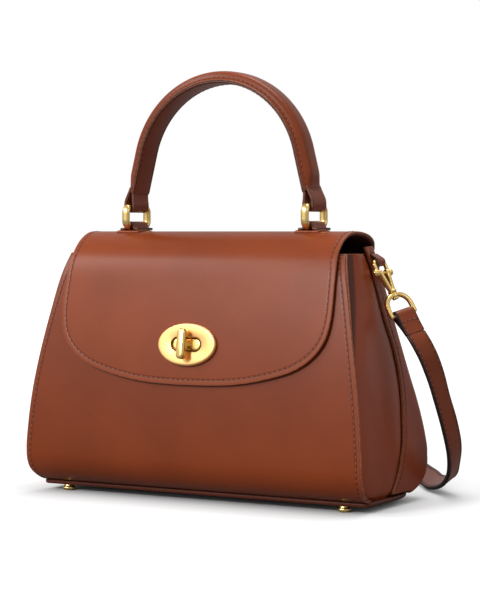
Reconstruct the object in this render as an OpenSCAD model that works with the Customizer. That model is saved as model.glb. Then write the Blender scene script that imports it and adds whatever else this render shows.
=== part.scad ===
// Leather top-handle bag with a front flap, a turn lock, side clasps and a shoulder strap.
// Millimetres. The viewer's right is +X, the front faces -Y, up is +Z, the floor is z = 0.

/* [Body] */
// Half width of the body at its top
half_top = 117; // [105:1:125]
// Half width of the body at its base
half_low = 143; // [135:1:150]
// Distance of the front panel's foot from the middle, along Y
front_low = 60; // [58:0.5:62]
// Distance of the back panel's foot from the middle, along Y
back_low = 66; // [64:0.5:68]
// Height of the front face's top edge above the floor
panel_top = 184; // [180:1:185]
// Leather thickness of the body panels
panel_t = 2.5; // [2:0.1:3]
// Thickness of the lining sheets
lining_t = 1.2; // [0.8:0.1:1.5]
// Radius of the bend from the front and the back into the base
base_bend = 24; // [22:0.5:24]
// Radius of the upright bend from each side into the back
back_bend = 12; // [8:1:14]

/* [Base] */
// Height of the base panel's underside above the floor
foot_h = 4.5; // [4:0.1:5]
// Thickness of the base panel
base_t = 3; // [2.5:0.1:3.5]
// Radius of a foot
foot_r = 5; // [4.5:0.1:5.5]
// Distance of the feet from the body's sides, along X
foot_in = 22.5; // [20:0.5:30]

/* [Flap] */
// Thickness of the flap's outer leather
flap_t = 2; // [1.6:0.1:2.2]
// Thickness of the flap's lining
flap_lining_t = 1; // [0.6:0.1:1]
// Half width of the flap at its top
flap_half = 114.5; // [112:0.5:115]
// Height of the flap's lower edge above the floor
flap_low = 89; // [87:0.5:91]

/* [Lock] */
// Height of the lock's middle above the floor
lock_z = 117.4; // [112:0.2:122]
// Length of the oval lock plate
plate_w = 50; // [46:1:54]
// Height of the oval lock plate
plate_h = 32; // [30:1:34]
// Thickness of the lock plate
plate_t = 3; // [2.5:0.1:3.5]
// Length of the slot in the lock plate
slot_w = 26; // [25.5:0.1:27]
// Height of the slot in the lock plate
slot_h = 10.6; // [10:0.1:12]
// Length of the turning knob
knob_len = 23; // [20:0.5:24]
// Width of the turning knob
knob_w = 7; // [6:0.5:8]
// How far the knob stands out of the plate
knob_out = 9; // [7:0.5:10]

/* [Handle] */
// Distance of each handle ring from the inner edge of its leg's foot, along X
ring_out = 4.39; // [3:0.01:6]
// Distance between the middles of a ring's two upright sides
ring_w = 30; // [29:0.5:32]
// Radius of a ring's stock
ring_r = 2.3; // [2:0.1:2.4]
// Distance between the middles of a ring's upper and lower bars
ring_h = 16; // [15:0.5:18]
// Inner radius of the handle's arch
arch_r = 68.4; // [66:0.2:70]
// Height of the legs' feet above the middles of the rings' upper bars
leg_up = 10.2; // [9.5:0.1:13]
// Outward lean of the handle's legs, in degrees
leg_lean = 14; // [12:0.5:15]
// Length of the handle's straight legs
leg_len = 32; // [30:0.5:33]
// Width of the handle
handle_w = 24; // [22:0.5:24]
// Thickness of the handle's lining strap
handle_lining_t = 3; // [2:0.1:3.5]
// Rise of the padded cover above the lining strap
handle_rise = 5.7; // [5:0.1:6.5]

/* [Side clasps] */
// Width of the leather loop on each side
tab_w = 11.5; // [10:0.5:12]
// Radius of the shackle's stock
shackle_r = 1.3; // [1.1:0.1:1.4]
// Distance between the shackle's bar and its pin
shackle_h = 8.9; // [8.5:0.1:10]
// Distance between the middles of the shackle's two arms
shackle_w = 18; // [17:0.5:20]
// Radius of the pin's ball heads
ball_r = 2.6; // [2.3:0.1:2.6]
// Outward lean of the hanging clasp, in degrees
clasp_lean = 29.3; // [27:0.1:32]
// Length from the pin to the swivel's collar
fork_len = 18.8; // [18:0.1:20]
// Outer width of the swivelling loop
loop_w = 25; // [24.5:0.1:25.5]
// Radius of the swivelling loop's stock
loop_r = 1.75; // [1.6:0.05:1.8]
// Height of the swivelling loop, from its bar to the collar
loop_h = 15.7; // [15:0.1:17]
// Turn of the swivelling loop at rest, in degrees
loop_turn = 28.8; // [20:0.1:35]

/* [Shoulder strap] */
// Width of the shoulder strap
strap_w = 18; // [17:0.5:18]
// Thickness of the shoulder strap
strap_t = 3; // [2.4:0.1:3.2]
// Length of the strap's folded end below the bar
fold_len = 17; // [15:0.5:17]

/* [Hidden] */

leather = [0.50, 0.26, 0.17];
dark = [0.30, 0.16, 0.11];
suede = [0.62, 0.48, 0.36];
brass = [0.90, 0.76, 0.42];
board = [0.35, 0.27, 0.22];

gap = 0.3;
run = 0.05;
press = 0.1;
fn_round = 64;
fn_small = 48;
fn_post = 32;

// Places on the body. The sides, the front and the back bow out between their top and their foot.
wing_top = 187;
wide_z = 37;
side_bow = 16;
face_top = 37.2;
face_bow = 18.8;
setback_z = 165;
setback_y = 3.5;
back_top = 26;
seam_reach = 22;
corner_min = 0.6;
body_low = foot_h + base_t;
board_top = body_low + panel_t;
bend_z = body_low + base_bend;
front_flat = -(front_low - base_bend);
back_flat = back_low - base_bend;

// Shares of heights first, from the bend or the board up to the top, then shares of the reach
back_shares = [[0, 1], [0.029, 1], [0.113, 0.938], [0.209, 0.825], [0.305, 0.688], [0.408, 0.525],
    [0.518, 0.388], [0.653, 0.25], [0.826, 0.125], [0.923, 0.056], [1, 0]];
seam_shares = [[0, -0.136], [0.028, 0.045], [0.073, 0.318], [0.141, 0.568], [0.215, 0.773],
    [0.299, 0.886], [0.379, 0.977], [0.458, 1], [0.565, 0.909], [0.678, 0.659], [0.791, 0.364],
    [0.904, 0.045], [1, -0.25]];
front_level_shares = [0, 0.036, 0.134, 0.233, 0.331, 0.43, 0.528, 0.626, 0.725, 0.803, 0.875, 0.928,
    0.967, 1];
bend_steps = [for (i = [0:6]) i * 15];

function drop(z) = (wing_top - max(z, wide_z)) / (wing_top - wide_z);
function half_w(z) = half_top + (half_low - half_top) * drop(z) + side_bow * drop(z) * (1 - drop(z));
function setback(z) = setback_y * pow(max(z - setback_z, 0) / (wing_top - setback_z), 2);
function face_y(z) = -(face_top + (front_low - face_top) * drop(z) + face_bow * drop(z) * (1 - drop(z)));
function front_y(z) = face_y(z) + setback(z);
function back_y(z) = back_top + (back_low - back_top)
    * lookup((z - bend_z) / (wing_top - bend_z), back_shares);
function rise_share(z) = (z - board_top) / (wing_top - board_top);
function seam_y(z) = seam_reach * lookup(rise_share(z), seam_shares);
function unit2(v) = v / norm(v);

// Lock pieces: the base is riveted through the front panel, the eyelet and the plate are on the flap
flap_gap = 0.5;
flange_t = 1.2;
flange_rim = 2;
boss_in = 1;
boss_low = 0.6;
stem_r = 2.5;
shank_r = 2;
lock_washer_t = 1;
lock_washer_rim = 2;
washer_gap = 0.2;
knob_t = 6;
knob_edge = 0.75;
knob_bevel = 1.2;
plate_sink = 0.2;
plate_bevel = 1.2;
eyelet_t = 0.6;
lean_step = 1;
stack = flap_gap + flap_t + flap_lining_t;

// The whole part is moved along Y so that its box is centred.
lock_lean = atan((face_y(lock_z + lean_step) - face_y(lock_z - lean_step)) / (2 * lean_step));
fore = face_y(lock_z) - (stack + plate_t + knob_out) * cos(lock_lean)
    - (knob_len / 2 - knob_edge) * sin(lock_lean);
shift_y = -(fore + back_low) / 2;
echo(shift_y = shift_y, lock_lean = lock_lean, ring_x = ring_x, arch_z = arch_z);

// A closed solid between two matching grids of points, a row at a time.
module sheet(outer, inner) {
    rows = len(outer);
    cols = len(outer[0]);
    n = rows * cols;
    skin = [for (i = [0:rows - 2], j = [0:cols - 2]) each [
        [i * cols + j, i * cols + j + 1, (i + 1) * cols + j + 1],
        [i * cols + j, (i + 1) * cols + j + 1, (i + 1) * cols + j]]];
    rim = concat([for (j = [0:cols - 1]) j],
        [for (i = [1:rows - 1]) i * cols + cols - 1],
        [for (j = [cols - 2:-1:0]) (rows - 1) * cols + j],
        [for (i = [rows - 2:-1:1]) i * cols]);
    m = len(rim);
    polyhedron(points = concat([for (r = outer) each r], [for (r = inner) each r]),
        faces = concat(skin,
            [for (f = skin) [f[2] + n, f[1] + n, f[0] + n]],
            [for (k = [0:m - 1]) [rim[k], rim[k] + n, rim[(k + 1) % m] + n]],
            [for (k = [0:m - 1]) [rim[k], rim[(k + 1) % m] + n, rim[(k + 1) % m]]]));
}

// Profiles are lists of [y, z, half width]. A strip runs across from -X to +X.
function side_normal(p, i) = let (a = p[max(i - 1, 0)], b = p[min(i + 1, len(p) - 1)],
    d = unit2([b[0] - a[0], b[1] - a[1]])) [-d[1], d[0]];
function offset_profile(p, t) = [for (i = [0:len(p) - 1]) let (n = side_normal(p, i))
    [p[i][0] + n[0] * t, p[i][1] + n[1] * t, p[i][2]]];
function across(p) = [for (q = p) [[-q[2], q[0], q[1]], [q[2], q[0], q[1]]]];
module strip(p, near, far) {
    sheet(across(offset_profile(p, min(near, far))), across(offset_profile(p, max(near, far))));
}
module placed() {
    translate([0, shift_y, 0]) children();
}
module mirrored(side) {
    if (side < 0) mirror([1, 0, 0]) children();
    else children();
}

// Front panel, from its bottom edge under the body up to its top edge
front_lining_in = 12;
front_profile = concat(
    [for (a = [0:5]) [front_flat - base_bend * sin(bend_steps[a]), bend_z - base_bend * cos(bend_steps[a]),
        half_low]],
    [for (s = front_level_shares) let (z = bend_z + s * (panel_top - bend_z)) [front_y(z), z, half_w(z)]]);
module front_panel() {
    color(leather) placed() strip(front_profile, 0, -panel_t);
}
front_lining_profile = [for (i = [1:len(front_profile) - 1]) let (q = front_profile[i])
    [q[0], q[1], q[2] - front_lining_in]];
module front_lining() {
    color(suede) placed() strip(front_lining_profile, -panel_t, -panel_t - lining_t);
}

// Back panel with its two wings: rows run from the base up, columns from the right seam to the left seam
back_lining_in = 16;
lining_seat = 0.1;
back_rows = concat([for (a = [0:5]) [bend_z - base_bend * cos(bend_steps[a]),
        back_flat + base_bend * sin(bend_steps[a]), 90 - bend_steps[a]]],
    [for (s = back_shares) let (z = bend_z + s[0] * (wing_top - bend_z)) [z, back_y(z), 0]]);
corner_steps = [0, 30, 60, 90];
function wing_z(z) = board_top + (z - body_low) * (wing_top - board_top) / (wing_top - body_low);
function back_row(r, t) = let (w = half_w(r[0]), z = wing_z(r[0]), s = seam_y(z), b = r[2],
    c = max(back_bend * (1 - b / 90), corner_min))
    concat([[w - t, s, z], [w - t, (s + r[1] - c) / 2, z]],
        [for (g = corner_steps) let (k = sin(g)) [w - c + (c - t) * cos(g),
            r[1] - c + (c - t * cos(b)) * k, z + (r[0] - z) * k + t * k * sin(b)]],
        [[w / 2, r[1] - t * cos(b), r[0] + t * sin(b)]]);
function whole_row(h) = concat(h, [for (j = [len(h) - 1:-1:0]) [-h[j][0], h[j][1], h[j][2]]]);
module back_panel() {
    color(leather) placed() sheet([for (r = back_rows) whole_row(back_row(r, panel_t))],
        [for (r = back_rows) whole_row(back_row(r, 0))]);
}
back_profile = [for (i = [len(back_rows) - 1:-1:1]) [back_rows[i][1], back_rows[i][0],
    half_w(back_rows[i][0]) - back_lining_in]];
module back_lining() {
    color(suede) placed() strip(back_profile, -panel_t - lining_seat, -panel_t - lining_seat - lining_t);
}

// Gusset: a flange sewn behind the front panel's edge, a fold inward, then a rounded side to the wing
gusset_t = 2;
gusset_seat = 0.15;
fold_depth = 4.5;
fold_lean = 1;
fold_y = 5;
ridge_y = 11;
side_y = 16;
side_in = 1.2;
lap_in = 0.9;
lap_y = 6;
lap_step = 1;
ridge_in_share = 0.6;
ridge_turn_share = 0.4;
side_y_share = 0.55;
fold_shares = [[0, 0.25], [0.282, 0.4], [0.565, 0.8], [0.791, 1], [1, 1]];
gusset_level_shares = [0, 0.034, 0.075, 0.124, 0.172, 0.241, 0.328, 0.414, 0.5, 0.586, 0.672, 0.759,
    0.845, 0.931, 1];
inner_bend = base_bend - panel_t - gusset_seat;
function inner_front(z) = z < bend_z
    ? front_flat - sqrt(max(pow(inner_bend, 2) - pow(bend_z - z, 2), 0))
    : front_y(z) + panel_t + gusset_seat;
function gusset_row(z, t) = let (w = half_w(z), y = inner_front(z), s = seam_y(z),
    f = gusset_t + fold_depth * lookup(rise_share(z), fold_shares), u = gusset_t - t)
    [[w, y + u, z], [w - f - t, y + u, z], [w - f - fold_lean - t, y + fold_y, z],
        [w - f * ridge_in_share - t, y + ridge_y + t * ridge_turn_share, z],
        [w - side_in - t, y + max(side_y_share * (s - y), side_y), z],
        [w - lap_in - t, s - lap_y, z], [w - panel_t - t, s - lap_step, z],
        [w - panel_t - t, s + lap_y, z]];
function gusset_rows(t) = [for (g = gusset_level_shares) gusset_row(board_top
    + g * (panel_top - board_top), t)];
module gusset(side) {
    color(leather) placed() mirrored(side) sheet(gusset_rows(gusset_t), gusset_rows(0));
}

// Base: a stiff board between the panels and a leather panel under it
base_in = 1.5;
board_gap = 0.35;
base_over = 5;
module base_board() {
    color(board) placed() translate([-half_low, front_flat + board_gap, body_low])
        cube([2 * half_low, back_flat - front_flat - board_gap, panel_t]);
}
module base_panel() {
    color(dark) placed() translate([-half_low + base_in, front_flat - base_over, foot_h])
        cube([2 * (half_low - base_in), back_flat - front_flat + 2 * base_over, base_t]);
}

// Feet: domed studs riveted through the base panel and the board, each with a washer inside
foot_out = 1;
foot_crown = 0.4;
post_r = 1.5;
post_over = 1.2;
foot_washer_t = 0.8;
foot_washer_share = 0.64;
foot_x = half_low - foot_in;
foot_spots = [for (x = [-foot_x, foot_x], y = [front_flat - foot_out, back_flat + foot_out]) [x, y]];
module feet_studs() {
    color(brass) placed() for (p = foot_spots) translate([p[0], p[1], 0]) {
        intersection() {
            translate([0, 0, foot_r]) sphere(r = foot_r + foot_crown, $fn = fn_round);
            cylinder(r = 2 * foot_r, h = foot_h, $fn = fn_round);
        }
        cylinder(r = post_r, h = board_top + post_over, $fn = fn_post);
    }
}
module feet_washers() {
    color(brass) placed() for (p = foot_spots) translate([p[0], p[1], board_top]) difference() {
        cylinder(r = foot_r * foot_washer_share, h = foot_washer_t, $fn = fn_round);
        cylinder(r = post_r - press, h = 3 * foot_washer_t, center = true, $fn = fn_post);
    }
}

// Lock: everything stands on the leaning front face. Local +Z points out of the face.
module on_lock(out) {
    placed() translate([0, face_y(lock_z), lock_z]) rotate([90 - lock_lean, 0, 0]) translate([0, 0, out])
        children();
}
module stadium(l, w, h) {
    linear_extrude(height = h) {
        square([l - w, w], center = true);
        for (s = [-1, 1]) translate([s * (l - w) / 2, 0]) circle(d = w, $fn = fn_round);
    }
}
module oval(l, w, h) {
    linear_extrude(height = h) polygon([for (i = [0:71]) [l / 2 * cos(5 * i), w / 2 * sin(5 * i)]]);
}
module lock_base() {
    color(brass) on_lock(0) difference() {
        union() {
            translate([0, 0, -flange_t]) stadium(slot_w + 2 * flange_rim, slot_h + 2 * flange_rim, flange_t);
            stadium(slot_w - 2 * boss_in, slot_h - 2 * boss_in, stack + plate_t - boss_low);
            translate([0, 0, -washer_back - press])
                cylinder(r = shank_r, h = washer_back + press, $fn = fn_small);
        }
        cylinder(r = stem_r + run, h = stack + 2 * plate_t, $fn = fn_small);
    }
}
washer_back = panel_t + lining_t + washer_gap + lock_washer_t;
module lock_washer() {
    color(brass) on_lock(-washer_back) difference() {
        stadium(slot_w + 3 * lock_washer_rim, slot_h + 2 * lock_washer_rim, lock_washer_t);
        cylinder(r = shank_r - press, h = 3 * lock_washer_t, center = true, $fn = fn_small);
    }
}
module lock_knob() {
    color(brass) on_lock(0) {
        translate([0, 0, run])
            cylinder(r = stem_r, h = stack + plate_t + knob_out - knob_t / 2, $fn = fn_small);
        translate([0, 0, stack + plate_t + knob_out - knob_t]) rotate([0, 0, 90]) {
            stadium(knob_len - 2 * knob_edge, knob_w - 2 * knob_edge, knob_t);
            stadium(knob_len, knob_w, knob_t - knob_bevel);
        }
    }
}

// Flap: a top arch and a front drop, each an outer leather with a lining under it
flap_lift = 2.6;
flap_rear_in = 0.8;
arch_span = 58.7;
arch_rise = 12.5;
flap_lining_in = 2;
shoulder_z = 176;
arch_low = wing_top + flap_lift;
arch_top = arch_low + arch_rise;
arch_shares = [[0, 0], [0.063, 0.32], [0.191, 0.64], [0.32, 0.848], [0.446, 0.952], [0.576, 1],
    [0.702, 0.952], [0.813, 0.784], [0.915, 0.512], [1, 0.176]];
shoulder_shares = [[1.167, -1.088, 1.01], [1.133, -0.688, 1.006], [1.077, -0.264, 1], [1.01, 0.128, 1]];
drop_shares = [[0, 0.175], [0.015, 0.349], [0.04, 0.472], [0.069, 0.572], [0.103, 0.672],
    [0.144, 0.762], [0.195, 0.838], [0.253, 0.896], [0.322, 0.946], [0.402, 0.983], [0.494, 1.004],
    [0.598, 1.015], [0.713, 1.017], [0.828, 1.015], [0.931, 1.012]];
function arch_at(a) = [back_top - flap_rear_in - arch_span * a[0], arch_low + arch_rise * a[1]];
arch_profile = [for (a = arch_shares) [arch_at(a)[0], arch_at(a)[1], flap_half]];
drop_profile = concat([for (d = drop_shares) let (z = flap_low + d[0] * (shoulder_z - flap_low))
        [face_y(z) - stack, z, flap_half * d[1]]],
    [for (a = shoulder_shares) [arch_at(a)[0], arch_at(a)[1], flap_half * a[2]]]);
drop_inner = [for (q = drop_profile) [q[0], q[1], q[2] - flap_lining_in]];
module flap_top() {
    color(leather) placed() strip(arch_profile, 0, flap_t);
}
module flap_top_lining() {
    color(suede) placed() strip([for (q = arch_profile) [q[0], q[1], q[2] - flap_lining_in]], flap_t,
        flap_t + flap_lining_t);
}
module slot_cut(wall) {
    on_lock(0) stadium(slot_w + 2 * wall, slot_h + 2 * wall, stack + 2 * plate_t);
}
module flap_front() {
    color(leather) difference() {
        placed() strip(drop_profile, 0, -flap_t);
        slot_cut(eyelet_t);
    }
}
module flap_front_lining() {
    color(suede) difference() {
        placed() strip(drop_inner, -flap_t, -flap_t - flap_lining_t);
        slot_cut(eyelet_t);
    }
}
module lock_plate() {
    color(brass) difference() {
        union() {
            on_lock(stack - plate_sink) oval(plate_w, plate_h, plate_t - plate_bevel);
            on_lock(stack) oval(plate_w - 2 * plate_bevel, plate_h - 2 * plate_bevel, plate_t);
        }
        slot_cut(eyelet_t);
    }
}
module lock_eyelet() {
    color(brass) difference() {
        on_lock(flap_gap) stadium(slot_w + 2 * eyelet_t, slot_h + 2 * eyelet_t,
            flap_t + flap_lining_t + plate_t);
        slot_cut(0);
    }
}

// Handle rings on the flap's top, each held by a leather tab on a patch
ring_y = -4.5;
patch_t = 0.85;
patch_half = 9.5;
patch_deep = 13;
patch_reach = 4;
tab_t = 2;
tab_half = 11;
tab_foot_t = 1.6;
tab_foot_half = 8;
patch_top = arch_top + patch_t;
ring_seat = ring_r + run;
ring_low = patch_top + ring_seat;
leg_x = arch_r * cos(leg_lean) + leg_len * sin(leg_lean);
leg_z = ring_low + ring_h + leg_up;
ring_x = leg_x + ring_out;
arch_z = leg_z + leg_len * cos(leg_lean) - arch_r * sin(leg_lean);
module handle_patch(side) {
    color(leather) placed() mirrored(side) intersection() {
        strip([for (i = [2:7]) [arch_profile[i][0], arch_profile[i][1], ring_x + patch_half]],
            0, -patch_reach);
        translate([ring_x - patch_half, ring_y - patch_deep, patch_top - arch_rise])
            cube([2 * patch_half, 2 * patch_deep, arch_rise]);
    }
}
module handle_tab(side) {
    color(leather) placed() mirrored(side) translate([ring_x, ring_y + tab_half, ring_low])
        rotate([90, 0, 0]) linear_extrude(height = 2 * tab_half) difference() {
            union() {
                circle(r = ring_seat + tab_t, $fn = fn_round);
                translate([-ring_seat - tab_t, -ring_seat]) square([2 * (ring_seat + tab_t), ring_seat]);
                translate([-tab_foot_half, -ring_seat]) square([2 * tab_foot_half, tab_foot_t]);
            }
            circle(r = ring_seat, $fn = fn_round);
            translate([-ring_seat, -ring_seat]) square([2 * ring_seat, ring_seat]);
            translate([-2 * tab_half, -ring_seat - tab_half]) square([4 * tab_half, tab_half]);
        }
}
module handle_ring(side) {
    color(brass) placed() mirrored(side) translate([ring_x, ring_y, ring_low])
        for (s = [-1, 1]) {
            translate([0, s * ring_w / 2, 0]) cylinder(r = ring_r, h = ring_h, $fn = fn_small);
            for (z = [0, ring_h]) translate([0, s * ring_w / 2, z]) sphere(r = ring_r, $fn = fn_small);
            for (z = [0, ring_h]) if (s > 0) translate([0, ring_w / 2, z]) rotate([90, 0, 0])
                cylinder(r = ring_r, h = ring_w, $fn = fn_round);
        }
}

// Handle: a section given across the radius, swept along the arch and down both legs
module swept() {
    placed() translate([0, ring_y, arch_z]) rotate([90, 0, 0]) {
        rotate([0, 0, leg_lean]) rotate_extrude(angle = 180 - 2 * leg_lean, $fn = 192) children();
        for (s = [0, 1]) mirror([s, 0, 0]) rotate([0, 0, leg_lean]) rotate([90, 0, 0])
            linear_extrude(height = leg_len) children();
    }
}
cover_in = arch_r + handle_lining_t;
core_w = 12;
core_t = 2.6;
cover_t = 1.8;
cover_rim = 2.5;
module core_section() {
    translate([cover_in, -core_w / 2]) square([core_t, core_w]);
}
module handle_lining() {
    color(dark) swept() translate([arch_r, -handle_w / 2]) square([handle_lining_t, handle_w]);
}
module handle_core() {
    color(board) swept() core_section();
}
module handle_cover() {
    dome = handle_rise - cover_t;
    half = handle_w / 2 - cover_rim;
    r = (half * half + dome * dome) / (2 * dome);
    color(leather) swept() difference() {
        union() {
            translate([cover_in, -handle_w / 2]) square([cover_t, handle_w]);
            intersection() {
                translate([cover_in + handle_rise - r, 0]) circle(r = r, $fn = 96);
                translate([cover_in + cover_t / 2, -half]) square([handle_rise, 2 * half]);
            }
        }
        core_section();
    }
}

// Loops that hold the handle's feet on the rings' upper bars
loop_wall = 2.8;
loop_neck = 2.6;
foot_near = 0.6;
foot_far = 8;
function foot_point(d) = [leg_x + d * cos(leg_lean), leg_z + d * sin(leg_lean)];
module handle_loop(side) {
    top = ring_low + ring_h;
    color(leather) placed() mirrored(side) translate([0, ring_y + tab_half, 0]) rotate([90, 0, 0])
        linear_extrude(height = 2 * tab_half) difference() {
            union() {
                translate([ring_x, top]) circle(r = ring_seat + loop_wall, $fn = fn_round);
                polygon([[ring_x - ring_seat - loop_neck, top], [ring_x + ring_seat + loop_neck, top],
                    foot_point(foot_far), foot_point(foot_near)]);
            }
            translate([ring_x, top]) circle(r = ring_seat, $fn = fn_round);
        }
}

// Side clasps. The right one is built and the left one is its mirror image.
clasp_y = 13.5;
bar_z = 179.5;
bar_out = 3.44;
pin_out = 3.7;
pin_r = 1;
pin_over = 2;
eye_r = 2;
eye_t = 2.4;
ball_seat_share = 0.7;
side_tab_t = 2;
side_tab_up = 4.4;
side_tab_down = 5;
bar_x = half_w(bar_z) + bar_out;
pin_lean = asin(pin_out / shackle_h);
pin_x = bar_x + shackle_h * sin(pin_lean);
pin_z = bar_z - shackle_h * cos(pin_lean);
module at_pin(side) {
    placed() mirrored(side) translate([pin_x, clasp_y, pin_z]) rotate([0, -clasp_lean, 0]) children();
}
module at_loop(side) {
    at_pin(side) translate([0, 0, -fork_len]) rotate([0, 0, -loop_turn]) children();
}
module side_tab(side) {
    r = shackle_r + run;
    color(leather) placed() mirrored(side) translate([0, clasp_y + tab_w / 2, 0]) rotate([90, 0, 0])
        linear_extrude(height = tab_w) difference() {
            union() {
                translate([bar_x, bar_z]) circle(r = r + side_tab_t, $fn = fn_round);
                polygon([[bar_x, bar_z + r + side_tab_t],
                    [half_w(bar_z + side_tab_up), bar_z + side_tab_up],
                    [half_w(bar_z - side_tab_down), bar_z - side_tab_down],
                    [bar_x, bar_z - r - side_tab_t]]);
            }
            translate([bar_x, bar_z]) circle(r = r, $fn = fn_round);
        }
}
module shackle(side) {
    color(brass) placed() mirrored(side) translate([bar_x, clasp_y, bar_z]) {
        rotate([90, 0, 0]) cylinder(r = shackle_r, h = shackle_w, center = true, $fn = fn_round);
        for (s = [-1, 1]) translate([0, s * shackle_w / 2, 0]) {
            sphere(r = shackle_r, $fn = fn_small);
            rotate([0, 180 - pin_lean, 0]) difference() {
                union() {
                    cylinder(r = shackle_r, h = shackle_h, $fn = fn_small);
                    translate([0, 0, shackle_h]) rotate([90, 0, 0])
                        cylinder(r = eye_r, h = eye_t, center = true, $fn = fn_small);
                }
                translate([0, 0, shackle_h]) rotate([90, 0, 0])
                    cylinder(r = pin_r, h = 3 * eye_t, center = true, $fn = fn_small);
            }
        }
    }
}
module shackle_pin(side) {
    color(brass) at_pin(side) rotate([90, 0, 0]) {
        cylinder(r = pin_r, h = shackle_w + 2 * pin_over, center = true, $fn = fn_small);
        for (s = [-1, 1]) translate([0, 0, s * (shackle_w / 2 + eye_t / 2 + ball_r * ball_seat_share)])
            sphere(r = ball_r, $fn = fn_small);
    }
}

// Fork with its hub and swivel stem, the collar riveted on the stem, and the loop that turns between
prong_t = 3.2;
prong_w = 4.2;
prong_foot_w = 3.4;
prong_foot_y = 1.9;
prong_top = 1.4;
slice_t = 1;
fork_eye_r = 2.4;
hub_r = 3.4;
hub_t = 2;
hub_up = 1.9;
swivel_r = 1.3;
collar_r = 2.6;
collar_t = 1.4;
collar_floor = 0.4;
collar_gap = 0.25;
loop_hub_r = 2.9;
shoulder_r = 9.5;
collar_low = loop_r + collar_gap + collar_t;
swivel_low = collar_low - collar_floor;
loop_half = loop_w / 2 - loop_r;
module clasp_fork(side) {
    eye_y = shackle_w / 2 - eye_t / 2 - gap - prong_t / 2;
    hub_mid = -fork_len + hub_up + hub_t / 2;
    color(brass) at_pin(side) difference() {
        union() {
            for (s = [-1, 1]) {
                translate([0, s * eye_y, 0]) rotate([90, 0, 0])
                    cylinder(r = fork_eye_r, h = prong_t, center = true, $fn = fn_small);
                hull() {
                    translate([0, s * eye_y, -prong_top]) cube([prong_w, prong_t, slice_t], center = true);
                    translate([0, s * prong_foot_y, hub_mid])
                        cube([prong_foot_w, prong_t, slice_t], center = true);
                }
            }
            translate([0, 0, -fork_len + hub_up]) cylinder(r = hub_r, h = hub_t, $fn = fn_small);
            translate([0, 0, -fork_len - swivel_low])
                cylinder(r = swivel_r, h = swivel_low + hub_up + hub_t / 2, $fn = fn_small);
        }
        rotate([90, 0, 0]) cylinder(r = pin_r + run, h = 3 * shackle_w, center = true, $fn = fn_small);
    }
}
module swivel_collar(side) {
    color(brass) at_pin(side) translate([0, 0, -fork_len - collar_low]) difference() {
        cylinder(r = collar_r, h = collar_t, $fn = fn_small);
        translate([0, 0, collar_floor]) cylinder(r = swivel_r, h = 2 * collar_t, $fn = fn_small);
    }
}
module swivel_loop(side) {
    color(brass) at_loop(side) difference() {
        union() {
            translate([0, 0, -loop_h]) rotate([90, 0, 0])
                cylinder(r = loop_r, h = 2 * loop_half, center = true, $fn = fn_round);
            for (s = [-1, 1]) translate([0, s * loop_half, -loop_h]) {
                sphere(r = loop_r, $fn = fn_small);
                cylinder(r = loop_r, h = loop_h - shoulder_r, $fn = fn_small);
            }
            for (s = [0, 1]) mirror([0, s, 0]) translate([0, loop_half - shoulder_r, -shoulder_r])
                rotate([0, -90, 0]) rotate_extrude(angle = 90, $fn = 96)
                translate([shoulder_r, 0]) circle(r = loop_r, $fn = fn_small);
            rotate([90, 0, 0]) cylinder(r = loop_r, h = 2 * (loop_half - shoulder_r), center = true,
                $fn = fn_small);
            translate([0, 0, -loop_r]) cylinder(r = loop_hub_r, h = 2 * loop_r, $fn = fn_small);
        }
        cylinder(r = swivel_r + run, h = 6 * loop_r, center = true, $fn = fn_small);
    }
}

// The strap's folded end goes round the loop's bar. It leans out from the clasp's line.
end_lean = 8;
end_in = 0.3;
end_wall = 2.2;
leaf_wall = 0.9;
module strap_end(side) {
    r = loop_r + run;
    w = strap_w - 2 * end_in;
    color(leather) at_loop(side) translate([0, w / 2, -loop_h]) rotate([90, 0, 0])
        linear_extrude(height = w) rotate(end_lean) difference() {
            union() {
                circle(r = r + end_wall, $fn = fn_round);
                translate([-r - leaf_wall, -fold_len]) square([2 * (r + leaf_wall), fold_len]);
            }
            circle(r = r, $fn = fn_round);
        }
}

// Shoulder strap: route points with the direction of its width, from the right end to the middle
route_half = [
    [[153.5, 12.3, 127.1], [0.42, 0.876, 0.236]], [[156.9, 11.9, 122.5], [0.42, 0.876, 0.236]],
    [[160.8, 14.5, 114], [0.30, 0.93, 0.20]], [[164.4, 22, 98], [0.15, 0.95, 0.27]],
    [[167, 30, 78], [0, 0.91, 0.41]],
    [[168.5, 40, 58], [0.05, 0.87, 0.49]], [[167, 52, 39], [0.10, 0.82, 0.56]],
    [[159, 68, 22], [0.25, 0.75, 0.61]], [[149, 82, 12], [0.48, 0.68, 0.56]],
    [[131, 100, 6.8], [0.60, 0.58, 0.55]], [[116, 120, 7.4], [0.58, 0.55, 0.60]],
    [[100, 140, 8.2], [0.52, 0.50, 0.69]], [[83, 161, 9.2], [0.35, 0.30, 0.88]],
    [[67, 173, 9.5], [0, 0, 1]], [[54, 163, 9.5], [0, 0, 1]], [[51, 145, 9.5], [0, 0, 1]],
    [[50, 120, 9.5], [0, 0, 1]], [[46, 103, 9.5], [0, 0, 1]], [[34, 94, 9.5], [0, 0, 1]],
    [[22, 103, 9.5], [0, 0, 1]], [[18, 120, 9.5], [0, 0, 1]], [[17, 150, 9.5], [0, 0, 1]],
    [[14, 172, 9.5], [0, 0, 1]], [[0, 184, 9.5], [0, 0, 1]]];
route = concat(route_half, [for (i = [len(route_half) - 2:-1:0]) let (p = route_half[i])
    [[-p[0][0], p[0][1], p[0][2]], [-p[1][0], p[1][1], p[1][2]]]]);
section_shares = [[-0.5, -0.27], [-0.46, -0.5], [0.46, -0.5], [0.5, -0.27],
    [0.5, 0.27], [0.46, 0.5], [-0.46, 0.5], [-0.5, 0.27]];
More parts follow.
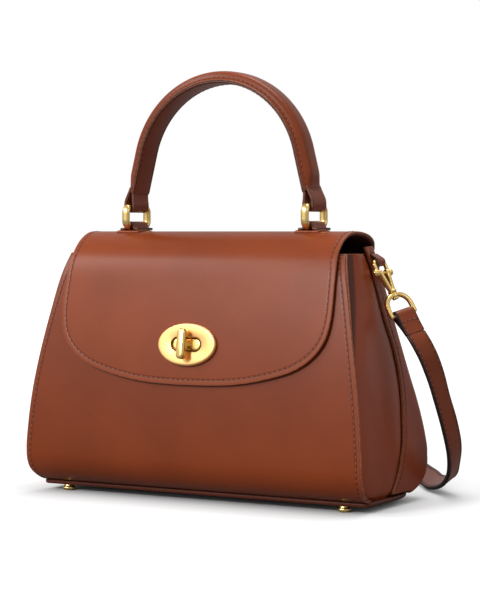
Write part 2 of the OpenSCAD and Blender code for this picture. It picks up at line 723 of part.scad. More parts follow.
function strap_ring(i) = let (a = route[max(i - 1, 0)][0], b = route[min(i + 1, len(route) - 1)][0],
    u = unit2(b - a), v = route[i][1], w = unit2(v - u * (v * u)), n = cross(u, w))
    [for (s = section_shares) route[i][0] + w * s[0] * strap_w + n * s[1] * strap_t];
module shoulder_strap() {
    k = len(section_shares);
    m = len(route);
    color(leather) placed() polyhedron(points = [for (i = [0:m - 1]) each strap_ring(i)],
        faces = concat([[for (j = [0:k - 1]) j]], [[for (j = [k - 1:-1:0]) (m - 1) * k + j]],
            [for (i = [0:m - 2], j = [0:k - 1]) [i * k + j, (i + 1) * k + j, (i + 1) * k + (j + 1) % k]],
            [for (i = [0:m - 2], j = [0:k - 1]) [i * k + j, (i + 1) * k + (j + 1) % k,
                i * k + (j + 1) % k]]));
}

front_panel();
back_panel();
gusset(-1);  // gusset_left
gusset(1);  // gusset_right
base_board();
base_panel();
front_lining();
back_lining();
feet_studs();
feet_washers();
lock_base();
lock_washer();
lock_knob();
flap_top();
flap_top_lining();
flap_front();
flap_front_lining();
lock_plate();
lock_eyelet();
handle_patch(-1);  // handle_patch_left
handle_patch(1);  // handle_patch_right
handle_tab(-1);  // handle_tab_left
handle_tab(1);  // handle_tab_right
handle_ring(-1);  // handle_ring_left
handle_ring(1);  // handle_ring_right
handle_lining();
handle_cover();
handle_core();
handle_loop(-1);  // handle_loop_left
handle_loop(1);  // handle_loop_right
side_tab(-1);  // side_tab_left
side_tab(1);  // side_tab_right
shackle(-1);  // shackle_left
shackle(1);  // shackle_right
shackle_pin(-1);  // shackle_pin_left
shackle_pin(1);  // shackle_pin_right
clasp_fork(-1);  // clasp_fork_left
clasp_fork(1);  // clasp_fork_right
swivel_collar(-1);  // swivel_collar_left
swivel_collar(1);  // swivel_collar_right
swivel_loop(-1);  // swivel_loop_left
swivel_loop(1);  // swivel_loop_right
strap_end(-1);  // strap_end_left
strap_end(1);  // strap_end_right
shoulder_strap();
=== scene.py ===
"""Leather top-handle bag with a front flap, a turn lock and a shoulder strap: its looks, round the model.

Shapes are worked out in millimetres with the frame's axes, the origin under the middle of the body's foot,
and place() turns them into metres. Every surface comes from numpy arrays; a sheet's seam attribute tells its
material how far each point is from the stitch row and from the edge.
"""
import math

import bpy
import numpy as np
from mathutils import Matrix


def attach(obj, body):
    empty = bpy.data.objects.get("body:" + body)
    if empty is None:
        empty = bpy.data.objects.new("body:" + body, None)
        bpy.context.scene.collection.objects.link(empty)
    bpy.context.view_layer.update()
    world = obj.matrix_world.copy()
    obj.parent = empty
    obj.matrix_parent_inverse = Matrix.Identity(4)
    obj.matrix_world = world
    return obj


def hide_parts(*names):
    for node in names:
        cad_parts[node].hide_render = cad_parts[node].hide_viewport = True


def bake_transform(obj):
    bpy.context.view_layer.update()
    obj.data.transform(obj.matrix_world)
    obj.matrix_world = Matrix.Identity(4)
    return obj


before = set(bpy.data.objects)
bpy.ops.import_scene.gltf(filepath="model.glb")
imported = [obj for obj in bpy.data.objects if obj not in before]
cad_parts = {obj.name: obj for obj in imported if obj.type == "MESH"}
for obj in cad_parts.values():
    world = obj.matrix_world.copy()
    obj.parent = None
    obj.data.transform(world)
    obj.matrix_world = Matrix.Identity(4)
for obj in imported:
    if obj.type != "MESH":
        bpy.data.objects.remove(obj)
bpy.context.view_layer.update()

# The body's main sizes, as in the part's source
SHIFT = 1.73335
HALF_TOP, HALF_LOW = 117.0, 143.0
WING_TOP, PANEL_TOP, WIDE_Z = 187.0, 184.0, 37.0
FRONT_TOP, FRONT_LOW, BACK_LOW, BACK_TOP = 37.2, 60.0, 66.0, 26.0
BEND, BOARD_TOP, BODY_LOW = 24.0, 10.0, 7.5
BEND_Z = BODY_LOW + BEND
# The front panel is set back under the flap above this height
SET_BACK_Z = 165.0
FLAP_HALF, STACK = 114.5, 3.5
LOCK_Z, LOCK_LEAN = 117.4, math.radians(9.14747)
RING_X, RING_Y, RING_LOW, RING_HIGH = 78.5, -4.5, 205.3, 221.3
ARCH_R, ARCH_Z, LEG_LEAN, LEG_LEN = 68.4, 246.0, math.radians(14), 32.0
# Leather's thicknesses, and its sewing: the row's distance from the edge, pitch, a thread's length and lift
PANEL_T, GUSSET_T, FLAP_T, UNDER_T, SUEDE_T = 2.4, 1.9, 2.0, 1.0, 1.0
STITCH_IN, STITCH_PITCH, STITCH_LONG, STITCH_LIFT = 3.4, 4.3, 2.5, 0.05
# The seam attribute where no stitch row or edge is near
NO_SEAM = 99.0
# A sheet's round rim: its rows, and how far it stands out as a share of the thickness
RIM_ROWS, RIM_RISE = 5, 0.32
SIDES = ((-1, "left"), (1, "right"))


def ease(x, a, b):
    """Smooth step: t = (x - a) / (b - a) held to 0..1, then 3t^2 - 2t^3."""
    t = np.clip((np.asarray(x, float) - a) / (b - a), 0, 1)
    return t * t * (3 - 2 * t)


def unit(v):
    """Vectors divided by their length."""
    return v / np.maximum(np.linalg.norm(v, axis=-1, keepdims=True), 1e-12)


def spline(points, count, even=True):
    """Cubic Hermite curve through points, at count places, evenly spaced by arc length.

    A slope is the mean of those on its two sides, weighted by the other side's chord.
    """
    p = np.asarray(points, float)
    d = np.maximum(np.linalg.norm(np.diff(p[:, :3], axis=0), axis=1), 1e-9)
    t = np.concatenate([[0], np.cumsum(d)])
    s = np.diff(p, axis=0) / d[:, None]
    m = np.empty_like(p)
    m[1:-1] = (s[:-1] * d[1:, None] + s[1:] * d[:-1, None]) / (d[1:] + d[:-1])[:, None]
    m[0], m[-1] = s[0], s[-1]
    x = np.linspace(0, t[-1], 24 * len(p))
    k = np.clip(np.searchsorted(t, x, side="right") - 1, 0, len(d) - 1)
    h, u = d[k][:, None], ((x - t[k]) / d[k])[:, None]
    dense = ((2 * u**3 - 3 * u**2 + 1) * p[k] + (u**3 - 2 * u**2 + u) * h * m[k]
             + (3 * u**2 - 2 * u**3) * p[k + 1] + (u**3 - u**2) * h * m[k + 1])
    far = arc(dense[:, :3]) if even else x
    return along(dense, far, np.linspace(0, far[-1], count))


def arc(p):
    """Arc length from the first point to each point."""
    return np.concatenate([[0], np.cumsum(np.linalg.norm(np.diff(p, axis=0), axis=1))])


def along(p, s, at):
    """The points p, which lie at the lengths s, read at other lengths."""
    return np.stack([np.interp(at, s, p[:, i]) for i in range(p.shape[1])], -1)


def tangents(p, closed=False):
    """Unit direction at each point, from its two neighbours."""
    if closed:
        return unit(np.roll(p, -1, 0) - np.roll(p, 1, 0))
    return unit(np.gradient(p, axis=0))


def left_of(p, closed=False):
    """The left-hand normal (-b', a') of a profile (a, b)."""
    t = tangents(p, closed)
    return np.stack([-t[:, 1], t[:, 0]], 1)


# The body's outline, as in the part's source
BACK_SHARES = np.array([[0, 1], [.029, 1], [.113, .938], [.209, .825], [.305, .688], [.408, .525],
                        [.518, .388], [.653, .25], [.826, .125], [.923, .056], [1, 0]])
SEAM_SHARES = np.array([[0, -.136], [.028, .045], [.073, .318], [.141, .568], [.215, .773],
                        [.299, .886], [.379, .977], [.458, 1], [.565, .909], [.678, .659],
                        [.791, .364], [.904, .045], [1, -.25]])
SEAM_OUT, SEAM_BACK = 22.0, 9.5


def smooth_table(table):
    """The table's curve made round: a spline through its rows, read back by its first column."""
    return spline(table, 240, even=False).T


BACK_CURVE, SEAM_CURVE = smooth_table(BACK_SHARES), smooth_table(SEAM_SHARES)


def drop(z):
    """Share d of the way from the top down to the widest height."""
    return (WING_TOP - np.maximum(z, WIDE_Z)) / (WING_TOP - WIDE_Z)


def bowed(z, top, low, bow):
    """A line from top to foot with a bow of bow x d(1 - d)."""
    return top + (low - top) * drop(z) + bow * drop(z) * (1 - drop(z))


def half_w(z):
    """Half width of the body, with a bow of 16 mm."""
    return bowed(z, HALF_TOP, HALF_LOW, 16)


def panel_half(z):
    """Half width of a panel, which keeps its full width round the bend."""
    return np.where(z < BEND_Z, HALF_LOW, half_w(z))


def face_y(z):
    """The front face, with a bow of 18.8 mm."""
    return -bowed(z, FRONT_TOP, FRONT_LOW, 18.8)


def front_y(z):
    """The front panel, set back by up to 3.5 mm under the flap."""
    return face_y(z) + 3.5 * (np.maximum(z - SET_BACK_Z, 0) / (WING_TOP - SET_BACK_Z)) ** 2


def back_y(z):
    """The back panel, by its table of shares."""
    return BACK_TOP + (BACK_LOW - BACK_TOP) * np.interp((z - BEND_Z) / (WING_TOP - BEND_Z), *BACK_CURVE)


def seam_y(z):
    """The side seam, by its table of shares, and further back by a smooth step from 130 to 185 mm."""
    share = np.interp((z - BOARD_TOP) / (WING_TOP - BOARD_TOP), *SEAM_CURVE)
    return SEAM_OUT * share + SEAM_BACK * ease(z, 130, 185)


def turning(angle, i, j):
    """The matrix that turns axis i towards axis j by an angle."""
    m = np.eye(3)
    m[i, i] = m[j, j] = math.cos(angle)
    m[j, i], m[i, j] = math.sin(angle), -math.sin(angle)
    return m


def place(p):
    """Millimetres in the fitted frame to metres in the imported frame."""
    return (np.asarray(p, float) + [0, SHIFT, 0]) / 1000


def raised(outline, height):
    """A flat outline's points with one height as their third coordinate."""
    return np.concatenate([outline, np.full((len(outline), 1), height)], 1)


def outward(points, faces):
    """The faces, turned over where the volume that they enclose is negative."""
    volume = sum((points[f[:, 0]] * np.cross(points[f[:, j]], points[f[:, j + 1]])).sum()
                 for f in faces for j in range(1, f.shape[1] - 1))
    return [f[:, ::-1] for f in faces] if volume < 0 else faces


def piece(name, points, faces, materials, slots=None, seam=None, sharp=38):
    """A mesh object from points in millimetres and arrays of faces, turned outwards.

    slots gives the material of each array of faces, or of each face in it; seam is (from the stitch row,
    from the edge) at each point; edges sharper than sharp degrees stay sharp.
    """
    points = np.asarray(points, float).reshape(-1, 3)
    faces = outward(points, faces)
    mesh = bpy.data.meshes.new(name)
    mesh.from_pydata(place(points).tolist(), [], [q for f in faces for q in f.tolist()])
    for m in materials:
        mesh.materials.append(m)
    if slots is not None:
        index = np.concatenate([np.broadcast_to(s, len(f)) for s, f in zip(slots, faces)])
        mesh.polygons.foreach_set("material_index", index.astype(np.int32))
    mesh.polygons.foreach_set("use_smooth", np.ones(len(mesh.polygons), bool))
    if seam is None:
        seam = np.full((len(points), 2), NO_SEAM)
    seam = np.concatenate([np.zeros((len(points), 1)), np.reshape(seam, (-1, 2))], 1)
    a = mesh.attributes.new("seam", "FLOAT_VECTOR", "POINT")
    a.data.foreach_set("vector", seam.astype(np.float32).ravel())
    mesh.validate()
    mesh.update()
    mesh.set_sharp_from_angle(angle=math.radians(sharp))
    obj = bpy.data.objects.new(name, mesh)
    bpy.context.scene.collection.objects.link(obj)
    return obj


def shell(outer, inner, seam):
    """Two matching grids closed by a half-round rim.

    A rim point is the wall's middle plus its half thickness times cos a, plus the edge's outward direction
    times RIM_RISE x thickness x sin a, for a from 0 to 180 degrees.
    """
    nu, nv = outer.shape[:2]
    idx = np.arange(nu * nv).reshape(nu, nv)
    ring = np.concatenate([idx[0], idx[1:, -1], idx[-1, -2::-1], idx[-2:0:-1, 0]])
    o, i = outer.reshape(-1, 3), inner.reshape(-1, 3)
    near = idx[np.clip(ring // nv, 1, nu - 2), np.clip(ring % nv, 1, nv - 2)]
    bo, bi = o[ring], i[ring]
    wall = bo - bi
    out = unit(np.cross(np.roll(bo, -1, 0) - np.roll(bo, 1, 0), wall))
    out *= np.sign(((bo - o[near]) * out).sum())
    thick = np.linalg.norm(wall, axis=1, keepdims=True)
    a = (np.pi * np.arange(1, RIM_ROWS + 1) / (RIM_ROWS + 1))[:, None, None]
    rim = (bo + bi) / 2 + wall / 2 * np.cos(a) + out * thick * RIM_RISE * np.sin(a)
    n, m = nu * nv, len(ring)
    quads = np.stack([idx[:-1, :-1], idx[:-1, 1:], idx[1:, 1:], idx[1:, :-1]], -1).reshape(-1, 4)
    loops = np.concatenate([ring[None], 2 * n + np.arange(RIM_ROWS * m).reshape(RIM_ROWS, m), ring[None] + n])
    nxt = np.roll(loops, -1, 1)
    rims = np.stack([loops[:-1], loops[1:], nxt[1:], nxt[:-1]], -1).reshape(-1, 4)
    points = np.concatenate([o, i, rim.reshape(-1, 3)])
    if seam is not None:
        face = seam.reshape(-1, 2)
        edge = face[ring] * [1, 0]
        seam = np.concatenate([face, np.full((n, 2), NO_SEAM), np.tile(edge, (RIM_ROWS, 1))])
    return points, [quads, quads[:, ::-1] + n, rims], [0, 2, 1], seam


def sheet(name, outer, inner, materials, seam=None):
    """A leather sheet with a round painted edge: materials are those of the face, the edge and the back."""
    points, faces, slots, seam = shell(outer, inner, seam)
    return piece(name, points, faces, materials, slots, seam)


def join(rings, closed=False):
    """Faces between rings of points, each ring joined to the next, with flat caps unless closed."""
    m, n = rings.shape[:2]
    idx = np.arange(m * n).reshape(m, n)
    if closed:
        idx = np.concatenate([idx, idx[:1]])
    nxt = np.roll(idx, -1, 1)
    quads = np.stack([idx[:-1], nxt[:-1], nxt[1:], idx[1:]], -1).reshape(-1, 4)
    return [quads] if closed else [quads, idx[:1, ::-1], idx[-1:]]


def gather(parts):
    """Several (points, faces) put together as one."""
    points, faces, base = [], [], 0
    for p, fs in parts:
        p = p.reshape(-1, 3)
        points.append(p)
        faces += [f + base for f in fs]
        base += len(p)
    return np.concatenate(points), faces


def loft(name, groups, material, sharp=38):
    """A solid of one or more runs of rings; a run inside a tuple is also joined end to end."""
    parts = []
    for group in groups:
        closed = isinstance(group, tuple)
        rings = group[0] if closed else group
        parts.append((rings, outward(rings.reshape(-1, 3), join(rings, closed))))
    points, faces = gather(parts)
    return piece(name, points, faces, [material], sharp=sharp)


def oval(a, b, count=24, power=2.0):
    """Closed section |x/a|^p + |y/b|^p = 1, as count points."""
    t = np.linspace(0, 2 * np.pi, count, endpoint=False)
    c, s = np.cos(t), np.sin(t)
    return np.stack([a * np.sign(c) * np.abs(c) ** (2 / power), b * np.sign(s) * np.abs(s) ** (2 / power)], 1)


def stadium(length, width, count=64):
    """Slot outline: a rectangle with half-round ends."""
    r, h = width / 2, (length - width) / 2
    t = np.linspace(-np.pi / 2, np.pi / 2, count // 2)
    right = np.stack([h + r * np.cos(t), r * np.sin(t)], 1)
    return np.concatenate([right, -right])


def sweep(path, side, up, section):
    """Rings of a section (across, out) carried along a path with its two directions."""
    section = np.broadcast_to(section, (len(path),) + np.shape(section)[-2:])
    return path[:, None] + side[:, None] * section[..., :1] + up[:, None] * section[..., 1:]


def turned(profile, origin, axis, count=48):
    """Rings of a turned form: (radius, distance along the axis) round a line."""
    axis = unit(np.asarray(axis, float))
    a = unit(np.cross(axis, [0.3, 0.9, 0.1]))
    b = np.cross(axis, a)
    t = np.linspace(0, 2 * np.pi, count, endpoint=False)
    circle = np.cos(t)[:, None] * a + np.sin(t)[:, None] * b
    p = np.asarray(profile, float)
    return np.asarray(origin, float) + p[:, None, :1] * circle + p[:, None, 1:] * axis


def round_profile(r, low, high, edge):
    """Profile of a disc or rod with rounded ends: radius r between two heights."""
    t = np.linspace(0, np.pi / 2, 6)
    lower = np.stack([r - edge + edge * np.sin(t), low + edge * (1 - np.cos(t))], 1)
    upper = np.stack([r - edge + edge * np.cos(t), high - edge * (1 - np.sin(t))], 1)
    return np.concatenate([lower, upper])


def ball(r):
    """Profile of a ball: r cos t and r sin t, for t from one pole to the other."""
    t = np.linspace(-np.pi / 2 + .06, np.pi / 2 - .06, 18)
    return np.stack([r * np.cos(t), r * np.sin(t)], 1)


def spindles(c, t, b, n, steps, size, high, flat):
    """Small closed forms along a row: six-sided rings at steps along t, of radius size, raised by high.

    Across the row they are flattened by flat.
    """
    a = np.arange(6) * np.pi / 3
    ring = np.cos(a)[:, None] * b[:, None, None] + np.sin(a)[:, None] * n[:, None, None] * flat
    steps, size, high = (np.array(v)[:, None, None] for v in (steps, size, high))
    p = c[:, None, None] + steps * t[:, None, None] + high * n[:, None, None] + ring * size
    sides, low, top = join(p[0])
    step = np.arange(len(c))[:, None, None] * p.shape[1] * 6
    caps = np.concatenate([low, top])
    return p.reshape(-1, 3), [(sides + step).reshape(-1, 4), (caps + step).reshape(-1, 6)]


def stitches(name, runs, thick=0.36):
    """A row of sewing: dark ovals of painted shade for the awl holes at the pitch, and threads that dip into
    a hole at both ends.

    runs is a list of (points, normals); a thread's radius is thick x (.3, .85, 1, .85, .3), and a hole's
    painted shade is a flat oval.
    """
    thread_shape = (np.array([-.5, -.36, 0, .36, .5]) * STITCH_LONG, np.array([.3, .85, 1, .85, .3]) * thick,
                    np.array([-.38, .02, .1, .02, -.38]) + STITCH_LIFT, 0.75)
    hole_shade_shape = ([-.85, -.5, .5, .85], [.12, .5, .5, .12], [.03, .06, .06, .03], 0.2)
    parts, slots = [], []
    for path, normal in runs:
        s = arc(path)
        count = max(1, int(s[-1] / STITCH_PITCH))
        middles = (np.arange(count) + 0.5) * s[-1] / count
        ends = np.arange(count + 1) * s[-1] / count
        for at, shape, slot in ((middles, thread_shape, 0), (ends, hole_shade_shape, 1)):
            n, t = unit(along(normal, s, at)), along(tangents(path), s, at)
            t = unit(t - n * (t * n).sum(1, keepdims=True))
            part = spindles(along(path, s, at), t, np.cross(t, n), n, *shape)
            parts.append(part)
            slots += [slot] * len(part[1])
    points, faces = gather(parts)
    return piece(name, points, faces, [THREAD, HOLE_SHADE], slots, sharp=180)


# Materials
class Sock:
    """A shader socket: maths on it adds nodes to its tree."""

    def __init__(self, paint, socket):
        self.paint, self.socket = paint, socket

    def maths(self, operation, *values):
        """A Math node on these values."""
        return self.paint.node("ShaderNodeMath", {"operation": operation}, dict(enumerate(values)))

    def __add__(self, o):
        return self.maths("ADD", self, o)

    def __sub__(self, o):
        return self.maths("SUBTRACT", self, o)

    def __rsub__(self, o):
        return self.maths("SUBTRACT", o, self)

    def __mul__(self, o):
        return self.maths("MULTIPLY", self, o)

    __radd__, __rmul__ = __add__, __mul__

    def __abs__(self):
        return self.maths("ABSOLUTE", self)

    def most(self, o):
        """The larger of two."""
        return self.maths("MAXIMUM", self, o)

    def clip(self, low, high, **settings):
        """0 below low, 1 above high, and a line between."""
        sockets = {"Value": self, "From Min": low, "From Max": high}
        return self.paint.node("ShaderNodeMapRange", settings, sockets)

    def soft(self, low, high):
        """0 below low, 1 above high, and a smooth step between."""
        return self.clip(low, high, interpolation_type="SMOOTHSTEP")


class Paint:
    """A node tree being written, of a new material or of the world."""

    def __init__(self, owner):
        self.owner = bpy.data.materials.new(owner) if isinstance(owner, str) else owner
        self.owner.use_nodes = True
        self.tree = self.owner.node_tree
        self.tree.nodes.clear()

    def node(self, kind, settings=None, sockets=None, out=0):
        """Any node, from its type, its settings and its sockets' values or links."""
        n = self.tree.nodes.new(kind)
        for key, value in (settings or {}).items():
            setattr(n, key, value)
        for key, value in (sockets or {}).items():
            if isinstance(value, Sock):
                self.tree.links.new(value.socket, n.inputs[key])
            else:
                n.inputs[key].default_value = value
        return Sock(self, n.outputs[out]) if n.outputs else n

    def mix(self, share, a, b):
        """Colour a with share of colour b over it."""
        a, b = [(*c, 1) if isinstance(c, tuple) else c for c in (a, b)]
        return self.node("ShaderNodeMix", {"data_type": "RGBA"}, {0: share, 6: a, 7: b}, out=2)

    def noise(self, scale, detail=3.0, rough=0.5):
        """Noise on the piece's own Object coordinates."""
        where = self.node("ShaderNodeTexCoord", out=3)
        return self.node("ShaderNodeTexNoise", {}, {"Vector": where, "Scale": scale, "Detail": detail,
                                                    "Roughness": rough})

    def bump(self, height, strength, distance):
        """A normal from a height."""
        return self.node("ShaderNodeBump", {}, {"Strength": strength, "Distance": distance, "Height": height})

    def finish(self, **sockets):
        """The Principled shader with these sockets, as the material's surface."""
        keys = {k.replace("_", " "): v for k, v in sockets.items()}
        shader = self.node("ShaderNodeBsdfPrincipled", {}, keys)
        self.node("ShaderNodeOutputMaterial", {}, {"Surface": shader})
        return self.owner


def tone(*rgb):
    """Screen colour, 0 to 255, as linear light: c / 12.92 below 0.04045, else ((c + 0.055) / 1.055)^2.4."""
    return tuple(float(c / 12.92 if c <= .04045 else ((c + .055) / 1.055) ** 2.4)
                 for c in (v / 255 for v in rgb))


def shade(colour, share):
    """A colour made darker or paler by a share."""
    return tuple(min(1.0, c * share) for c in colour)


def calf(name, colour, pale, rough=0.34):
    """Smooth calf leather: mottled dye, fine pores, a pressed line at the stitch row and a burnished edge.

    Painted shade darkens the creases, where the seam attribute's edge distance is below 0.
    """
    p = Paint(name)
    seam = p.node("ShaderNodeAttribute", {"attribute_name": "seam"}, out=1)
    row, edge = [p.node("ShaderNodeSeparateXYZ", {}, {0: seam}, out=i) for i in (1, 2)]
    mottle, pores, creases = p.noise(14, 4), p.noise(900, 2), p.noise(260, 5, rough=0.6)
    dark, light = shade(colour, 0.55), shade(colour, 1.1)
    base = p.mix(mottle.soft(0.3, 0.72), shade(colour, 0.9), light)
    base = p.mix((1 - pores.clip(0.3, 0.55)) * 0.10, base, dark)
    # the margin outside the row, the row itself, the burnished edge and the painted shade in the creases
    base = p.mix(row.soft(-3.4, -2.6) * (1 - row.soft(-1.2, -0.5)) * 0.22, base, pale)
    base = p.mix((1 - abs(row).soft(0.5, 1.6)) * 0.45, base, dark)
    base = p.mix((1 - edge.soft(0.0, 0.8)) * 0.4, base, dark)
    # painted shade: the creases darkened almost to black
    base = p.mix((1 - edge.soft(-4.0, 1.0)) * 0.8, base, shade(colour, 0.15))
    height = pores * 0.10 + creases * 0.16 - (1 - abs(row).soft(0.0, 1.3)) * 0.8
    gloss = creases * 0.10 + mottle * 0.05 + (rough - 0.07)
    return p.finish(Base_Color=base, Roughness=gloss, Normal=p.bump(height, 0.55, 0.0004),
                    Specular_IOR_Level=0.2, Coat_Weight=0.05, Coat_Roughness=0.28)


def edge_paint(name, colour):
    """Sealed leather edge: paint over two plies, slightly uneven."""
    p = Paint(name)
    n = p.noise(420, 3)
    base = p.mix(n.soft(0.35, 0.65), shade(colour, 0.8), shade(colour, 1.2))
    return p.finish(Base_Color=base, Roughness=n * 0.12 + 0.36, Normal=p.bump(n, 0.3, 0.0003),
                    Specular_IOR_Level=0.3)


def suede(name, colour):
    """Napped lining: fine fibres and a soft sheen."""
    p = Paint(name)
    fine, wide = p.noise(1500, 4), p.noise(60, 3)
    base = p.mix(fine.soft(0.3, 0.7) * 0.6 + wide * 0.3, shade(colour, 0.7), shade(colour, 1.2))
    return p.finish(Base_Color=base, Roughness=0.9, Normal=p.bump(fine, 0.5, 0.0003), Sheen_Weight=0.25,
                    Sheen_Roughness=0.5)


def metal(name, colour, rough):
    """Pale gold plating with faint polishing haze and hairlines."""
    p = Paint(name)
    haze, lines = p.noise(90, 4), p.noise(2200, 2)
    base = p.mix(haze.soft(0.3, 0.7), shade(colour, 0.95), shade(colour, 1.04))
    return p.finish(Base_Color=base, Metallic=1.0, Roughness=haze * 0.08 + (rough - 0.04),
                    Normal=p.bump(lines, 0.015, 0.0001))


def thread(name, colour):
    """Waxed thread: twisted plies along the stitch."""
    p = Paint(name)
    n = p.noise(1800, 2)
    base = p.mix(n.soft(0.35, 0.65), shade(colour, 0.75), shade(colour, 1.15))
    return p.finish(Base_Color=base, Roughness=0.55, Normal=p.bump(n, 0.4, 0.0002))


TAN = calf("smooth_calf", tone(132, 58, 24), tone(160, 84, 50))
# the front panel's calf is a darker copy of the flap's: painted shade
TAN_FRONT_SHADED = calf("front_calf_painted_shade", tone(122, 52, 21), tone(148, 76, 45))
# the back's and gussets' calf is a paler copy of the flap's: painted light
TAN_SIDE_LIT = calf("side_calf_painted_light", tone(152, 63, 24), tone(170, 86, 46))
# dark calf: the flap's own dark underside, and painted shade on the base slab
TAN_DARK_AND_SHADED = calf("dark_calf_and_painted_shade", tone(88, 40, 24), tone(116, 60, 40), rough=0.5)
STRAP_CALF = calf("strap_calf", tone(138, 64, 34), tone(162, 86, 54))
EDGE = edge_paint("edge_paint", tone(44, 24, 24))
RIM = edge_paint("burnished_edge", tone(150, 82, 54))
EDGE_BROWN = edge_paint("brown_edge", tone(104, 62, 48))
LINING = suede("lining_suede", tone(70, 42, 30))
BOARD = suede("fibre_board", tone(52, 36, 28))
BRASS = metal("pale_gold", tone(240, 206, 132), 0.26)
SATIN = metal("satin_gold", tone(230, 180, 116), 0.4)
THREAD = thread("waxed_thread", tone(156, 80, 44))
# the dark ovals at the awl holes are painted shade
HOLE_SHADE = thread("awl_hole_shade", tone(66, 22, 10))
SHADOWED = thread("slot_shadow", tone(30, 20, 14))


def stand_in(obj, body, *nodes, slot="smooth_leather"):
    """The piece rides on its body, if it has one, and stands for these nodes; slot is not used."""
    if body is not None:
        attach(obj, body)
    if nodes:
        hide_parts(*nodes)


def gold(name, groups, body, *nodes, paint=BRASS, sharp=38):
    """A metal fitting from runs of rings."""
    stand_in(loft(name, groups, paint, sharp), body, *nodes, slot="pale_brass")


def across(count):
    """Shares from -1 to 1, closer together towards both ends: sign(t) (1 - (1 - |t|)^1.6)."""
    t = np.linspace(-1, 1, count)
    return np.sign(t) * (1 - (1 - np.abs(t)) ** 1.6)


def rows_of(yz, half, u, depth=0.0):
    """A grid: rows follow a profile in Y and Z, moved along its normal by depth; columns are at u x half."""
    p = yz + depth * left_of(yz)
    return np.stack(np.broadcast_arrays(u * half[:, None], p[:, :1], p[:, 1:]), -1)


# Front panel: the face, its bend under the body, and a stitch row along each side
quarter = np.linspace(0, np.pi / 2, 19)
low_z = BEND_Z - BEND * np.cos(quarter)
face_z = np.concatenate([np.linspace(BEND_Z, SET_BACK_Z, 60)[1:], np.linspace(SET_BACK_Z, PANEL_TOP, 14)[1:]])
front_yz = np.concatenate([np.stack([BEND - FRONT_LOW - BEND * np.sin(quarter), low_z], 1)[1:],
                           np.stack([front_y(face_z), face_z], 1)])
front_z = front_yz[:, 1]
front_half = (panel_half(front_z) + ease(front_z, 90, 175) + 1.5 * (1 - ease(front_z, 70, 150))
              - 3.6 * (1 - ease(front_z, BODY_LOW, 24)) ** 2)


def side_seam(half, yz, u):
    """Seam attribute of a panel with a stitch row along both sides."""
    s = arc(yz)[:, None]
    from_side = half[:, None] * (1 - np.abs(u))
    return np.stack([from_side - STITCH_IN, np.minimum(from_side, np.minimum(s, s[-1] - s))], -1)


u = across(91)
outer, inner = [rows_of(front_yz, front_half, u, -depth) for depth in (0.0, PANEL_T)]
stand_in(sheet("front_panel_leather", outer, inner, [TAN_FRONT_SHADED, RIM, LINING],
               side_seam(front_half, front_yz, u)), "bag_body", "front_panel")
runs = [(np.column_stack([side * (front_half - STITCH_IN), front_yz])[3:-1],
         np.column_stack([0 * front_half, left_of(front_yz)])[3:-1]) for side, _ in SIDES]
stand_in(stitches("front_panel_stitches", runs), "bag_body")


def lining(name, yz, half, near, node):
    """A suede lining, near mm inside a panel's face."""
    outer, inner = [rows_of(yz, half, across(41), -depth) for depth in (near, near + SUEDE_T)]
    stand_in(sheet(name, outer, inner, [LINING] * 3), "bag_body", node, slot="lining_suede")


# Linings inside the front and the back, narrower than their panels; the back bends forward at the foot
BACK_BEND, FRONT_NARROWER, BACK_NARROWER = 40.0, 12.0, 16.0
lining("front_lining_suede", front_yz[5:-1], front_half[5:-1] - FRONT_NARROWER, 2.6, "front_lining")
back_z = np.linspace(BEND_Z, WING_TOP - 1, 60)
low_y = BACK_LOW - BACK_BEND * (1 - np.sin(quarter))
back_yz = np.concatenate([np.stack([low_y, low_z], 1)[2:-1], np.stack([back_y(back_z), back_z], 1)])[::-1]
lining("back_lining_suede", back_yz, panel_half(back_yz[:, 1]) - BACK_NARROWER, 2.7, "back_lining")

# Back panel with its two wings, one piece of leather; lean is how far each row is turned under the body
CORNER = 12.0
WING_ROW, TOP_ROW = 4.0, 4.5
face_z = np.linspace(BEND_Z, WING_TOP, 70)
rows_y = np.concatenate([low_y[:-1], back_y(face_z)])
rows_z = np.concatenate([(BEND_Z - (BEND - 0.4) * np.cos(quarter))[:-1], face_z])
lean = np.concatenate([np.pi / 2 - quarter[:-1], 0 * face_z])


def climb(y):
    """How far the wing's top edge climbs towards the corner: 2.1 mm from y = -20 to y = 20."""
    return 2.1 * np.clip((y + 20) / 40, 0, 1)


def wing_rise(y, share):
    """How far the wing's top stands above the back's: 1.5 mm at the seam to 3.6 mm near the corner."""
    return (1.5 + climb(y)) * ease(share, 0.86, 1.0)


def back_shell(depth):
    """The back panel at a depth inside its face.

    Columns of its right half: the wing from the seam, the corner by its bend, half the back. The left is a
    mirror image.
    """
    w, share = half_w(rows_z), (rows_z - BODY_LOW) / (WING_TOP - BODY_LOW)
    wz = BOARD_TOP + share * (WING_TOP - BOARD_TOP)
    s, c = seam_y(wz), np.maximum(CORNER * (1 - lean / (np.pi / 2)), 0.6)
    cols = []
    for k in np.linspace(0, 1, 22):
        y = s + (rows_y - c - s) * k
        cols.append([w - depth, y, wz + wing_rise(y, share)])
    for g in np.radians(np.linspace(0, 90, 13)[1:]):
        k = np.sin(g)
        rise = wing_rise(rows_y - c, share) * (1 - ease(g, 0.1, 0.9))
        cols.append([w - c + (c - depth) * np.cos(g), rows_y - c + (c - depth * np.cos(lean)) * k,
                     wz + (rows_z - wz) * k + depth * k * np.sin(lean) + rise])
    for k in np.linspace(1, 0, 26)[1:]:
        cols.append([(w - c) * k, rows_y - depth * np.cos(lean), rows_z + depth * np.sin(lean)])
    right = np.stack([np.stack(q, -1) for q in cols], 1)
    return np.concatenate([right, right[:, -2::-1] * [-1, 1, 1]], 1)


